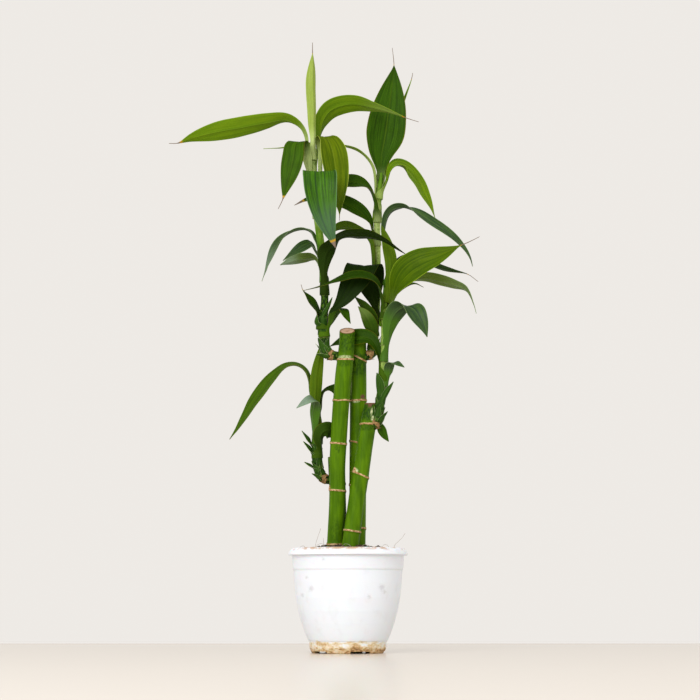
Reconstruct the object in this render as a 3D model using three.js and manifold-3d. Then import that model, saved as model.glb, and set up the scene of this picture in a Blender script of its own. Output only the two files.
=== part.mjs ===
// Lucky bamboo in a white nursery pot: four cut canes, each with one leafy side shoot.
// Millimetres, +Z up. The origin is the centre of the plane that the pot rests on.
// The front is towards -Y, and +X is to the right of someone who looks at the front.
import * as THREE from "three";
import { mergeVertices } from "three/addons/utils/BufferGeometryUtils.js";
import Module from "manifold-3d";

const wasm = await Module();
wasm.setup();

// Driving dimensions of the whole plant
const GAP = 0.35; // clearance between pieces that touch
const EYE_DISTANCE = 2000; // the front view that the plant's points are given in
const EYE_HEIGHT = 50;
const HALVINGS = 24; // steps of the search for a height on a curve

// Driving dimensions of the pot
const POT_HEIGHT = 95.2;
const POT_SIDES = 32;
const FLOOR_THICKNESS = 2;
const PAD_RADIUS = 13; // flat middle of the underside, which also rests on the table
const CHANNEL_HEIGHT = 2.4; // drained ring between the pad and the foot
const FOOT_INNER_RADIUS = 27;
const FOOT_RADIUS = 32.6;
const NOTCH_COUNT = 5;
const NOTCH_HEIGHT = 1.9;
const NOTCH_WIDTH = 19;
const NOTCH_DEPTH = 10;
const FIRST_NOTCH = -51.5; // degrees from the front, positive to the right
const DRAIN_COUNT = 6;
const DRAIN_RADIUS = 3.2;
const DRAIN_CIRCLE = 20;

// Driving dimensions of the soil
const SOIL_EDGE_HEIGHT = 90.5;
const SOIL_CROWN_HEIGHT = 97.2;
const SOIL_LUMPS = 14;
const SOIL_SEED = 7;
const LUMP_RADII = [2.2, 4.4];
const LUMP_REACH = [12, 44]; // distance of the lumps from the pot's axis
const LUMP_SUNK = [0.25, 0.6]; // part of its radius that a lump's middle lies below the surface

// Driving dimensions of the canes
const CANE_SIDES = 12;
const RIDGE_HEIGHT = 0.6; // how far a node ring stands out
const RIDGE_HALF = 0.6; // half of a ring's height along the cane
const RIDGE_FLANK = 1.4; // where its sloped flanks end
const MIDDLE_SPAN = 20; // longer spaces between rings have a middle section

// Driving dimensions of the shoots and leaves
const SHOOT_SIDES = 8;
const LENGTH_SAMPLES = 200;
const LEAF_THICKNESS = 0.8;
const LEAF_STEP = 9; // length of one strip of a blade
const NARROW_LEAF = 12.5; // blades up to this width have one strip on each side of the midrib
const SCALE_SUNK = 0.4; // how deep a scale leaf's base lies in the shoot
const SHEATH_LENGTH = 7;
const SHEATH_WRAP = 50; // degrees of the shoot that the base clasps on each side
const NECK_WRAP = 42; // and how far the neck and the blade are cupped on each side
const ROLLED_WRAP = 80;
const BLADE_WRAP = 17;
const TIP_WRAP = 10;
const TIP_WIDTH = 1;
const NECK_WIDTH = 5.6; // but no more than NECK_SHARE of the blade's width
const NECK_SHARE = 0.55;
const NECK_PART = 0.07; // the part of the leaf's length in which the base narrows to the neck
const LEAST_RISE = 0.1; // the part of its length in which a blade at least widens
const RISE_POWER = 1.25; // fullness of the outline from the neck to the widest place
const FALL_POWERS = [2.1, 1.15]; // and from there to the tip
const EDGE_WAVE = 0.035; // height of the edge's wave as a part of the blade's half-width
const EDGE_WAVES = 2.75; // waves along one edge
const BEND_SPAN = 0.02; // part of its length to each side over which a leaf's bend is measured
const LEAST_STRIPS = 5;

const group = new THREE.Group();
const degrees = THREE.MathUtils.degToRad;

function finish(color, roughness, metalness = 0) {
  return new THREE.MeshStandardMaterial({ color, roughness, metalness });
}

function add(name, geometry, material) {
  const mesh = new THREE.Mesh(geometry, material);
  mesh.name = name;
  group.add(mesh);
}

// A point read in the front view: x and z on the upright plane through the pot's axis, then y,
// its depth behind that plane. It is carried along the line of sight to its depth.
function sight([x, z, y]) {
  const scale = (EYE_DISTANCE + y) / EYE_DISTANCE;
  return new THREE.Vector3(x * scale, y, EYE_HEIGHT + (z - EYE_HEIGHT) * scale);
}

// The height at which a point shows in the front view
function seenHeight(point) {
  return EYE_HEIGHT + ((point.z - EYE_HEIGHT) * EYE_DISTANCE) / (EYE_DISTANCE + point.y);
}

function geometryOf(points, triangles) {
  const geometry = new THREE.BufferGeometry();
  const positions = points.flatMap((p) => [p.x, p.y, p.z]);
  geometry.setAttribute("position", new THREE.Float32BufferAttribute(positions, 3));
  geometry.setIndex(triangles.flat());
  return geometry;
}

function solidOf(geometry) {
  const bare = geometry.clone();
  bare.deleteAttribute("normal");
  bare.deleteAttribute("uv");
  const merged = mergeVertices(bare, 1e-4);
  const mesh = new wasm.Mesh({
    numProp: 3,
    vertProperties: Float32Array.from(merged.attributes.position.array),
    triVerts: Uint32Array.from(merged.index.array),
  });
  return new wasm.Manifold(mesh);
}

function geometryFrom(solid) {
  const mesh = solid.getMesh();
  const geometry = new THREE.BufferGeometry();
  geometry.setAttribute("position", new THREE.BufferAttribute(mesh.vertProperties, 3));
  geometry.setIndex(new THREE.BufferAttribute(mesh.triVerts, 1));
  return geometry;
}

// The point of a curve, between two places on it, that shows at a height in the front view
function pointAtHeight(curve, height, low = 0, high = 1) {
  for (let i = 0; i < HALVINGS; i += 1) {
    const middle = (low + high) / 2;
    if (seenHeight(curve.getPoint(middle)) < height) low = middle;
    else high = middle;
  }
  return curve.getPoint(low);
}

// Closed skin over rings of points, with a point in the middle of each end
function loft(rings) {
  const sides = rings[0].length;
  const points = rings.flat();
  const triangles = [];
  for (let i = 0; i + 1 < rings.length; i += 1) {
    for (let k = 0; k < sides; k += 1) {
      const a = i * sides + k;
      const b = i * sides + ((k + 1) % sides);
      triangles.push([a, b, b + sides], [a, b + sides, a + sides]);
    }
  }
  const last = (rings.length - 1) * sides;
  const ends = [rings[0], rings[rings.length - 1]].map((ring) =>
    ring.reduce((sum, p) => sum.add(p), new THREE.Vector3()).divideScalar(sides),
  );
  points.push(...ends);
  for (let k = 0; k < sides; k += 1) {
    const next = (k + 1) % sides;
    triangles.push([points.length - 2, next, k], [points.length - 1, last + k, last + next]);
  }
  return geometryOf(points, triangles);
}

// Value at a place along [place, value] pairs, straight between them
function between(pairs, place) {
  const next = pairs.findIndex(([at]) => at > place);
  if (next === 0) return pairs[0][1];
  if (next < 0) return pairs[pairs.length - 1][1];
  const [[from, low], [to, high]] = [pairs[next - 1], pairs[next]];
  return low + ((high - low) * (place - from)) / (to - from);
}

// Inner face of the pot's wall as [radius, height]
const POT_INSIDE = [
  [32.6, CHANNEL_HEIGHT + FLOOR_THICKNESS],
  [34.2, 11],
  [37.2, 18],
  [40.4, 27],
  [43.5, 38],
  [45.8, 50],
  [47.2, 64],
  [47.9, 76],
  [48.6, 88],
];

// Pot: injection-moulded bowl shape with a flared lip, a collar and a notched foot
function pot() {
  const outside = [
    [FOOT_RADIUS, 0],
    [33.6, 1.6],
    [34.9, 5],
    [35.2, 10.6],
    [36.3, 11.6],
    [39, 18],
    [42.2, 27],
    [45.3, 38],
    [47.6, 50],
    [49, 64],
    [49.5, 74.6],
    [50.4, 76],
    [51.1, 88.6],
    [54.3, 88.3],
    [54.6, 89.3],
    [53.6, 92],
    [51.6, 94.4],
    [49.4, POT_HEIGHT],
  ];
  const inside = [
    [48, POT_HEIGHT - 0.6],
    ...[...POT_INSIDE].reverse(),
    [0, CHANNEL_HEIGHT + FLOOR_THICKNESS],
  ];
  const underside = [
    [0, 0],
    [PAD_RADIUS, 0],
    [PAD_RADIUS + 0.8, CHANNEL_HEIGHT],
    [FOOT_INNER_RADIUS - 0.8, CHANNEL_HEIGHT],
    [FOOT_INNER_RADIUS, 0],
  ];
  const profile = [...underside, ...outside, ...inside].map(([r, z]) => new THREE.Vector2(r, z));
  const bowl = new THREE.LatheGeometry(profile, POT_SIDES);
  bowl.rotateX(Math.PI / 2);
  let body = solidOf(bowl);
  for (let i = 0; i < NOTCH_COUNT; i += 1) {
    const middle = (FOOT_INNER_RADIUS + FOOT_RADIUS) / 2;
    const notch = new THREE.BoxGeometry(NOTCH_WIDTH, NOTCH_DEPTH, 2 * NOTCH_HEIGHT);
    notch.translate(0, -middle, 0);
    notch.rotateZ(degrees(FIRST_NOTCH + (360 / NOTCH_COUNT) * i));
    body = body.subtract(solidOf(notch));
  }
  for (let i = 0; i < DRAIN_COUNT; i += 1) {
    const drain = new THREE.CylinderGeometry(DRAIN_RADIUS, DRAIN_RADIUS, 4 * FLOOR_THICKNESS, 8);
    drain.rotateX(Math.PI / 2);
    drain.translate(DRAIN_CIRCLE, 0, CHANNEL_HEIGHT + FLOOR_THICKNESS / 2);
    drain.rotateZ((2 * Math.PI * i) / DRAIN_COUNT);
    body = body.subtract(solidOf(drain));
  }
  add("pot", geometryFrom(body), finish(0xeceeee, 0.38));
}

// Canes: the axis as [x, z, y, radius] in the front view, then the node rings as
// [z, slope to the right, slope to the back] and the slopes of the cut top.
const CANES = {
  cane_a: {
    axis: [
      [-15.4, 34, 0, 7.4],
      [-11.9, 98, -2, 7.4],
      [-9.6, 140, -3, 7.6],
      [-9.8, 168, -3.4, 7.3],
      [-8.3, 198, -4, 7.5],
      [-6.5, 226, -4.6, 7.6],
      [-3.9, 255, -5.2, 7.8],
      [-1, 284, -5.8, 7.2],
      [-0.7, 295, -6, 7.2],
    ],
    rings: [
      [57, 0.03, 0],
      [98.6, 0, 0.05],
      [147.3, -0.08, 0],
      [190.6, -0.09, 0.03],
      [230.2, -0.04, 0.03],
      [268, 0, 0.03],
    ],
    cut: [0.03, 0.5],
  },
  cane_b: {
    axis: [
      [9.4, 34, 9.5, 7.6],
      [8.6, 100, 9.5, 7.4],
      [8.7, 116, 9.5, 7.6],
      [9, 160, 9.5, 7.8],
      [9.3, 215, 9.5, 7.7],
      [9.4, 245, 9.5, 7.7],
      [9.5, 283.4, 9.5, 7.4],
    ],
    rings: [
      [70, 0, 0],
      [112.8, 0, 0],
      [152.5, -0.02, 0],
      [190.5, -0.3, 0],
      [230, 0.03, 0],
      [269.5, -0.48, 0],
    ],
    cut: [0.1, 0.12],
  },
  cane_c: {
    axis: [
      [-8, 34, -15, 7.3],
      [2, 97, -12.6, 7.6],
      [8.5, 142, -11, 7.6],
      [12.9, 170, -10, 7.1],
      [16.1, 192, -9.2, 7.3],
      [19.6, 215, -8.4, 7.3],
      [21.4, 228, -8, 5.7],
    ],
    rings: [
      [62, 0.1, 0],
      [110.3, -0.15, 0],
      [161.6, -0.42, 0],
      [208.5, -0.02, 0],
    ],
    cut: [0, 0.1],
  },
  cane_d: {
    axis: [
      [-6, 34, 15, 7.4],
      [-8.2, 97, 14.6, 7.6],
      [-9.8, 150, 14.2, 7.6],
      [-11, 178.5, 14, 7.6],
    ],
    rings: [
      [66, 0, 0],
      [110, 0.05, 0],
      [154.5, -0.1, 0],
    ],
    cut: [0.05, 0.1],
  },
};

// One level ring of a cane, tilted by slopes to the right and to the back
function caneRing(centre, radius, [slopeX, slopeY]) {
  return Array.from({ length: CANE_SIDES }, (_, k) => {
    const angle = (2 * Math.PI * k) / CANE_SIDES;
    const x = radius * Math.cos(angle);
    const y = radius * Math.sin(angle);
    return new THREE.Vector3(centre.x + x, centre.y + y, centre.z + slopeX * x + slopeY * y);
  });
}

// A cane grown by `extra` all round, so that it also cuts the seat of its neighbours
function caneSolid({ axis, rings, cut }, extra = 0) {
  const curve = new THREE.CatmullRomCurve3(axis.map(sight));
  const radii = axis.map(([, z, , radius]) => [z, radius]);
  const foot = axis[0][1];
  const top = axis[axis.length - 1][1];
  const marks = [[foot - extra, 0, [0, 0]]];
  const tilted = rings.map(([z, slopeX, slopeY]) => [z, [slopeX, slopeY]]);
  tilted.forEach(([z, slopes], i) => {
    marks.push([z - RIDGE_FLANK, 0, slopes]);
    marks.push([z - RIDGE_HALF, RIDGE_HEIGHT, slopes]);
    marks.push([z + RIDGE_HALF, RIDGE_HEIGHT, slopes]);
    marks.push([z + RIDGE_FLANK, 0, slopes]);
    const next = tilted[i + 1];
    const gap = (next ? next[0] : top) - z;
    if (gap > MIDDLE_SPAN) marks.push([z + gap / 2, 0, [0, 0]]);
  });
  marks.push([top + extra, 0, cut]);
  const skins = marks.map(([z, rise, slopes]) => {
    const inside = THREE.MathUtils.clamp(z, foot, top);
    const centre = pointAtHeight(curve, inside);
    centre.z += z - inside;
    return caneRing(centre, between(radii, z) + rise + extra, slopes);
  });
  return solidOf(loft(skins));
}

// Soil: fills the pot, heaped towards the canes, with lumps and a plain hole for each cane
function soil() {
  const random = (() => {
    let state = SOIL_SEED;
    return () => {
      state = (state * 16807) % 2147483647;
      return state / 2147483647;
    };
  })();
  const wall = POT_INSIDE.map(([r, z], i) => [r - 1.5 * GAP, i === 0 ? z + GAP : z]);
  const surface = [
    [46.6, SOIL_EDGE_HEIGHT],
    [38, SOIL_EDGE_HEIGHT + 2],
    [28, SOIL_CROWN_HEIGHT - 2],
    [18, SOIL_CROWN_HEIGHT],
    [0, SOIL_CROWN_HEIGHT + 0.3],
  ];
  const floor = [[0, wall[0][1]]];
  const outline = [...floor, ...wall, ...surface].map(([r, z]) => new THREE.Vector2(r, z));
  const bed = new THREE.LatheGeometry(outline, POT_SIDES);
  bed.rotateX(Math.PI / 2);
  let body = solidOf(bed);
  for (let i = 0; i < SOIL_LUMPS; i += 1) {
    const radius = THREE.MathUtils.lerp(...LUMP_RADII, random());
    const reach = THREE.MathUtils.lerp(...LUMP_REACH, Math.sqrt(random()));
    const angle = 2 * Math.PI * random();
    const sunk = radius * THREE.MathUtils.lerp(...LUMP_SUNK, random());
    const height = between([...surface].reverse(), reach) - sunk;
    const lump = new THREE.IcosahedronGeometry(radius, 0);
    lump.rotateX(random() * Math.PI);
    lump.rotateZ(random() * Math.PI);
    lump.translate(reach * Math.cos(angle), reach * Math.sin(angle), height);
    body = body.add(solidOf(lump));
  }
  for (const cane of Object.values(CANES)) {
    body = body.subtract(caneSolid(cane, GAP));
  }
  add("soil", geometryFrom(body), finish(0x2b2119, 0.95));
}

function canes() {
  for (const [name, cane] of Object.entries(CANES)) {
    add(name, geometryFrom(caneSolid(cane)), finish(0x4a7d14, 0.42));
  }
}

// Shoots: the axis as [x, z, y, radius] in the front view, from inside the cane to the tip
const SHOOTS = {
  a: {
    cane: "cane_a",
    axis: [
      [-7, 271.5, -5, 3.6],
      [-13.5, 271.8, -5.4, 4.4],
      [-18.6, 274, -5.6, 5.2],
      [-21.4, 279, -5.8, 4.6],
      [-22, 286, -6, 4.3],
      [-23.2, 296, -6.2, 4.9],
      [-22.6, 308, -6.5, 4.2],
      [-21.6, 322, -7, 3.5],
      [-22, 340, -7.5, 3.4],
      [-23, 356, -8, 3.5],
      [-25.2, 376, -9, 3.5],
      [-28.4, 399, -10, 3.3],
      [-31.4, 426, -11, 3.1],
      [-33, 450, -11.7, 2.9],
      [-33.5, 466, -12.2, 2.2],
      [-33.7, 478, -12.6, 1.2],
    ],
  },
  b: {
    cane: "cane_b",
    axis: [
      [11, 271, 9.2, 3.2],
      [17.5, 271.5, 9.2, 4.2],
      [21.6, 274.5, 9.4, 4.6],
      [23.6, 281, 9.7, 3.9],
      [24.8, 292, 10, 3.5],
      [26.2, 315, 10, 3.4],
      [27, 340, 10, 3.3],
      [27, 365, 10, 3.3],
      [26.8, 388, 10.2, 3.2],
      [27.6, 408, 10.6, 2.9],
      [29.4, 428, 11.2, 2.8],
      [30.6, 438, 11.6, 1.6],
      [31, 443, 11.8, 1],
    ],
  },
  c: {
    cane: "cane_c",
    axis: [
      [17.5, 206.5, -9.5, 3.6],
      [23.4, 207.5, -10.5, 4.8],
      [27, 212, -11.2, 4.6],
      [28.4, 220, -11.5, 4.2],
      [30, 231, -11.6, 4],
      [31.8, 246, -11.6, 3.8],
      [32.9, 262, -11.6, 3],
      [33.4, 282, -11.6, 2.9],
      [33.4, 302, -11.6, 2.8],
      [34.2, 318, -11.6, 2.7],
      [36.4, 332, -11.4, 2.2],
      [38, 344, -11.2, 1.2],
    ],
  },
  d: {
    cane: "cane_d",
    axis: [
      [-13, 157, 14, 3.4],
      [-19.5, 157.5, 13.8, 4.2],
      [-24.5, 161.5, 13.4, 4.6],
      [-27.4, 170, 13, 4.3],
      [-28.6, 182, 12.8, 4.2],
      [-28.2, 196, 12.6, 3.6],
      [-28.4, 210, 12.4, 3],
      [-29.6, 224, 12.2, 2.8],
      [-29.6, 236, 12, 1.3],
    ],
  },
};

for (const shoot of Object.values(SHOOTS)) {
  shoot.curve = new THREE.CatmullRomCurve3(shoot.axis.map(sight), false, "centripetal");
}

// Axis point and radius of a shoot where it shows at a height in the front view
function shootAt(shoot, height) {
  const heights = shoot.axis.map(([, z]) => z);
  const count = heights.length - 1;
  const segment = Math.max(0, Math.min(count - 1, heights.filter((z) => z <= height).length - 1));
  const centre = pointAtHeight(shoot.curve, height, segment / count, (segment + 1) / count);
  const radii = shoot.axis.map(([, z, , radius]) => [z, radius]);
  return { centre, radius: between(radii, height) };
}

// Tube of a shoot, with a slight step where each sheath ends
function shootTube({ curve, axis }) {
  const count = axis.length - 1;
  const steps = count * 2;
  const radii = axis.map(([, , , radius], i) => [i / count, radius]);
  const frame = new THREE.Vector3(0, 1, 0);
  const rings = Array.from({ length: steps + 1 }, (_, i) => {
    const centre = curve.getPoint(i / steps);
    const forward = curve.getTangent(i / steps);
    const right = new THREE.Vector3().crossVectors(frame, forward).normalize();
    const up = new THREE.Vector3().crossVectors(forward, right);
    const radius = between(radii, i / steps);
    return Array.from({ length: SHOOT_SIDES }, (_, k) => {
      const angle = (2 * Math.PI * k) / SHOOT_SIDES;
      return centre
        .clone()
        .addScaledVector(right, radius * Math.cos(angle))
        .addScaledVector(up, radius * Math.sin(angle));
    });
  });
  return solidOf(loft(rings));
}

// Leaves. Each has the shoot that it grows from, the height and side (degrees: 0 right, 90 back,
// 180 left, 270 front) of its base, its widest width, where along the leaf that is, and the
// midrib as [x, z, y, twist] in the front view. The twist, in degrees, turns the upper face
// towards the front. A heading fixes the way that the blade leans where it isn't plain from the
// midrib. `neck` is the width of its neck and `slim` the part of its length where it starts to
// widen, where they aren't the usual ones. Points after `thread` are its dried, thread-like end.
// The tone is the colour of the leaf where it isn't dark green.
const LEAVES = {
  leaf_a_long_left: {
    shoot: "a", tone: "bright", height: 443, side: 175, wide: 20.5, peak: 0.66,
    midrib: [
      [-38, 468, -14, 0],
      [-40.5, 480, -15, -6],
      [-46, 488, -16, -13],
      [-58, 494, -18, -26],
      [-76, 491, -21, -44],
      [-100, 486.2, -25, -56],
      [-125, 481.5, -29, -60],
      [-146, 476.2, -31, -52],
      [-159, 471.2, -32, -40],
    ],
    thread: [[-167, 471, -33, -30]],
  },
  leaf_a_arch_right: {
    shoot: "a", tone: "bright", height: 437, side: 40, wide: 20.5, peak: 0.42,
    midrib: [
      [-28.6, 462, -8, 0],
      [-27, 478, -6, -20],
      [-24, 492.5, -5, -42],
      [-17, 502, -4, -56],
      [-6, 507, -3, -58],
      [7, 508.4, -2, -50],
      [22, 505.6, -1, -32],
      [38, 501.4, 0, -18],
      [54.5, 495.2, 1, -10],
    ],
    thread: [[66, 491.5, 2, 0]],
  },
  leaf_a_hang_left: {
    shoot: "a", height: 424, side: 205, wide: 20.5, peak: 0.62, heading: 235,
    midrib: [
      [-37.2, 447, -16.5, 0],
      [-40.5, 462, -19, 0],
      [-44.6, 472.5, -23, 10],
      [-49, 470.5, -28, 20],
      [-51, 458, -31, 25],
      [-54.2, 443, -32, 25],
      [-58, 428, -33, 20],
      [-60.8, 418, -34, 10],
    ],
    thread: [[-65, 409, -33, 0]],
  },
  leaf_a_front_hang: {
    shoot: "a", height: 400, side: 270, wide: 31, peak: 0.46, heading: 270,
    midrib: [
      [-30.8, 420, -20, 0],
      [-29.6, 434, -29, 0],
      [-28, 443.6, -38, 0],
      [-26.6, 443.6, -46, 0],
      [-25.4, 427, -51, 0],
      [-22, 405, -52, 0],
      [-17.2, 388, -52, 0],
      [-11.6, 372.5, -51, 0],
    ],
  },
  leaf_a_yellow_right: {
    shoot: "a", tone: "young", height: 424, side: 335, wide: 26, peak: 0.58, heading: 300,
    slim: 0.28, neck: 4.8,
    midrib: [
      [-26, 441, -12, 0],
      [-25.6, 455, -12, 0],
      [-25.4, 467, -12, 0],
      [-24.8, 475.2, -14.2, 0],
      [-21.8, 477.6, -17.6, 0],
      [-17.4, 472.6, -20.4, 8],
      [-14, 463, -21.8, 14],
      [-11.6, 450, -22, 16],
      [-10, 435, -21.4, 14],
      [-8.8, 419, -21, 8],
      [-7.8, 404, -21.4, 0],
    ],
    thread: [[-8, 398, -22.6, 0]],
  },
  leaf_a_dark_arch: {
    shoot: "a", height: 328, side: 270, wide: 24, peak: 0.52, heading: 0,
    midrib: [
      [-22.3, 347, -14, -84],
      [-22, 358, -16, -84],
      [-20, 367, -18.5, -72],
      [-16.6, 373, -22, -32],
      [-11.4, 378.6, -26, -2],
      [-4, 383.2, -29, -12],
      [8, 384.2, -32, -13],
      [22, 383.4, -33, -12],
      [33.5, 379, -32, -8],
      [44, 372.4, -29, -4],
      [54, 366.2, -24, 0],
    ],
  },
  leaf_a_light_left: {
    shoot: "a", height: 340, side: 130, wide: 13, peak: 0.62,
    midrib: [
      [-27.8, 359, -1.5, -10],
      [-32, 363, -1, -30],
      [-40, 362.6, 0, -38],
      [-49, 361.2, 3, -42],
      [-57, 358.4, 6, -36],
      [-63, 356.4, 8, -20],
    ],
  },
  leaf_a_dark_left: {
    shoot: "a", height: 356, side: 216, wide: 12, peak: 0.42,
    midrib: [
      [-31, 371, -13, 30],
      [-34.6, 376.4, -15, 55],
      [-40, 374.6, -17, 62],
      [-47, 370.4, -19, 58],
      [-54, 365.4, -21, 40],
      [-60.5, 360.4, -22, 20],
    ],
  },
  leaf_a_narrow_left: {
    shoot: "a", height: 364, side: 110, wide: 12, peak: 0.64,
    midrib: [
      [-30.6, 380.5, -3.5, 8],
      [-34, 387.2, -3, 4],
      [-40, 390, -1, 0],
      [-48, 389.2, 1, 4],
      [-56, 385.8, 4, 28],
      [-63, 380, 7, 50],
      [-68.6, 371.6, 10, 58],
      [-73, 361, 12, 54],
      [-76.8, 350, 14, 30],
      [-80, 341, 15, 20],
    ],
  },
  leaf_a_low_left: {
    shoot: "a", height: 296, side: 160, wide: 11.5, peak: 0.5,
    midrib: [
      [-28, 311.4, -7, 40],
      [-31.6, 319.4, -9, 70],
      [-37, 326.8, -11, 74],
      [-41.6, 333, -12, 50],
    ],
    thread: [[-43.2, 338, -13, 0]],
  },
  leaf_a_low_right: {
    shoot: "a", height: 289, side: 350, wide: 14, peak: 0.55, heading: 306,
    midrib: [
      [-15.2, 303.6, -7, 0],
      [-12.4, 311, -7.4, 0],
      [-8.8, 315.8, -8.6, 0],
      [-5.4, 316, -11.4, 0],
      [-3, 311.6, -13.4, 0],
      [-0.6, 307, -14, 0],
      [2.4, 301.6, -14, 0],
    ],
  },
  leaf_a_spear: {
    shoot: "a", tone: "young", height: 455, side: 286, wide: 13, peak: 0.68, heading: 300,
    rolled: true,
    midrib: [
      [-32.2, 472, -18.4, 0],
      [-32.8, 489, -20, 0],
      [-32.8, 507, -20, 0],
      [-33.3, 525, -20, 0],
      [-33.4, 541, -20, 0],
      [-33.4, 556, -20, 0],
    ],
    thread: [[-33.4, 567, -19.6, 0]],
  },
  leaf_b_big_top: {
    shoot: "b", height: 428, side: 85, wide: 37, peak: 0.47, heading: 90, neck: 8,
    midrib: [
      [30.6, 448, 17.5, 0],
      [31.4, 461, 20, 0],
      [34.4, 477, 22.5, 0],
      [37, 495, 24.5, 0],
      [39.6, 513, 26, 0],
      [42, 532, 27, 0],
      [43, 545, 27.5, 0],
    ],
    thread: [[41.5, 562, 28, 0]],
  },
  leaf_b_narrow_back: {
    shoot: "b", tone: "bright", height: 398, side: 85, wide: 8, peak: 0.5,
    midrib: [
      [31.2, 428, 22, 0],
      [36.4, 452, 33, 0],
      [44.6, 487, 38, 0],
      [50.8, 508, 40, 0],
      [59.2, 532, 42, 0],
    ],
    thread: [[60.4, 538, 42, 0]],
  },
  leaf_b_right: {
    shoot: "b", tone: "bright", height: 418, side: 350, wide: 22, peak: 0.52, slim: 0.2,
    midrib: [
      [36.2, 436, 7.6, 0],
      [39, 445, 8.2, 6],
      [43.8, 450, 12, 16],
      [50.4, 449.4, 19.6, 46],
      [58, 443.6, 24.6, 56],
      [65, 434.6, 27, 58],
      [71.4, 422.6, 28, 58],
      [77, 411, 29, 52],
      [81, 400.5, 30, 40],
    ],
  },
  leaf_b_thin_left: {
    shoot: "b", tone: "bright", height: 408, side: 155, wide: 13, peak: 0.5,
    midrib: [
      [25.4, 436, 9.8, 4],
      [23, 449, 9.4, 8],
      [16.6, 458.6, 10, 11],
      [8, 465, 11, 12],
      [-5, 469, 11, 13],
      [-25, 471.4, 10, 13],
      [-45, 470, 9, 13],
      [-62, 467, 8, 13],
      [-79, 466, 7, 12],
    ],
  },
  leaf_b_dark_left: {
    shoot: "b", height: 396, side: 250, wide: 17.5, peak: 0.55,
    midrib: [
      [24.6, 417, 4, 0],
      [20.8, 427, 3.4, 20],
      [14, 432.6, 2, 45],
      [5, 435, 1, 58],
      [-5, 434, 0, 58],
      [-14, 429.4, 0, 50],
      [-22, 424, 0, 45],
    ],
  },
  leaf_b_low_left: {
    shoot: "b", height: 374, side: 205, wide: 16.5, peak: 0.42,
    midrib: [
      [21.6, 394, 4.5, 20],
      [16.6, 401.4, 4, 48],
      [8, 409, 5, 62],
      [-2, 414.6, 6, 62],
      [-14, 418, 8, 60],
      [-27, 419.4, 9, 55],
      [-38, 418, 10, 50],
      [-50, 412.6, 11, 30],
    ],
  },
  leaf_b_arch_left: {
    shoot: "b", height: 334, side: 190, wide: 13, peak: 0.68,
    midrib: [
      [23.2, 357, 5.2, 0],
      [22.6, 368, 3.5, 0],
      [20.6, 378.5, 2, -4],
      [15, 386, 1.5, -8],
      [8, 390, 1, -14],
      [0, 393, 0, -30],
      [-8, 392.6, -1, -50],
      [-14.4, 388.6, -1.5, -50],
      [-19, 383.5, -2, -40],
    ],
  },
  leaf_b_folded: {
    shoot: "b", height: 301, side: 275, wide: 30.6, peak: 0.43, heading: 270,
    midrib: [
      [24.6, 319, 3.4, 0],
      [22, 333, 2.4, 0],
      [19.4, 345, 0, 0],
      [17.2, 353, -3.4, 0],
      [15, 356.2, -8.4, 0],
      [11.6, 352, -12.8, 0],
      [7, 343.6, -15.4, 0],
      [0.8, 333, -16.8, 0],
      [-6, 322.6, -17.4, 0],
      [-17.2, 311.2, -17.6, 0],
    ],
  },
  leaf_b_erect_back: {
    shoot: "b", height: 290, side: 205, wide: 13, peak: 0.45, heading: 240,
    midrib: [
      [21.6, 307, -1, 0],
      [15.4, 317.4, -4.4, 0],
      [6.2, 326.8, -6.4, 0],
    ],
  },
  leaf_b_erect_front: {
    shoot: "b", height: 277, side: 235, wide: 14, peak: 0.55, heading: 250,
    midrib: [
      [22.4, 293, 0, 0],
      [20, 302, -5, 0],
      [15.6, 310.4, -8.6, 0],
      [9.4, 317.6, -9.6, 0],
    ],
  },
  leaf_c_erect: {
    shoot: "c", tone: "bright", height: 321, side: 270, wide: 11.5, peak: 0.58, heading: 270,
    midrib: [
      [38.4, 341, -16.5, 0],
      [39.6, 352, -17, 0],
      [39.6, 361, -17, 0],
      [37.4, 372, -16.5, 0],
      [34.4, 383, -16, 0],
      [31, 393.6, -15, 0],
    ],
  },
  leaf_c_big_right: {
    shoot: "c", tone: "bright", height: 305, side: 335, wide: 28, peak: 0.5,
    midrib: [
      [41.4, 324, -19, 40],
      [44.6, 335, -24, 65],
      [50, 345.4, -29, 76],
      [58, 353.6, -33, 80],
      [68, 359.4, -36, 80],
      [80, 364, -38, 78],
      [91, 368.4, -39, 74],
      [104, 374.6, -40, 60],
    ],
    thread: [[112, 378, -40, 50], [122, 383, -40, 40]],
  },
  leaf_c_long_arch: {
    shoot: "c", height: 326, side: 120, wide: 11, peak: 0.66,
    midrib: [
      [37.2, 352, -5, 0],
      [34.2, 374, -5, -20],
      [33.4, 391, -4, -40],
      [36.4, 403.4, -3, -50],
      [42, 409.4, -2, -44],
      [50, 411, -1, -30],
      [57, 409.6, 0, 20],
      [67, 404.4, 1, 60],
      [79, 396.4, 2, 66],
      [91, 388.4, 3, 62],
      [101, 380, 4, 58],
      [109, 370.6, 5, 55],
      [113.4, 362.6, 6, 50],
      [115.6, 355, 6, 40],
    ],
  },
  leaf_c_dark_right: {
    shoot: "c", height: 312, side: 75, wide: 17, peak: 0.6,
    midrib: [
      [39.6, 335, -5, 0],
      [42.6, 351, -3, 8],
      [49, 361, -1, 20],
      [60, 362.6, 1, 30],
      [73, 358.4, 3, 34],
      [86, 353.6, 5, 36],
      [98, 350.6, 7, 34],
      [111, 347.8, 8, 20],
    ],
    thread: [[120.6, 340.8, 9, 10]],
  },
  leaf_c_grey_right: {
    shoot: "c", height: 282, side: 25, wide: 14.5, peak: 0.6,
    midrib: [
      [38, 310, -5.5, 0],
      [43, 326, -6, 0],
      [51, 337.4, -7, -8],
      [61, 343, -8, -22],
      [73, 344.2, -9, -30],
      [86, 341.6, -10, -36],
      [98, 338, -11, -36],
      [108, 334.6, -12, -28],
      [113.4, 327.6, -12, 0],
      [116.6, 319, -12, 10],
      [118.8, 311, -12, 10],
    ],
  },
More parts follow.
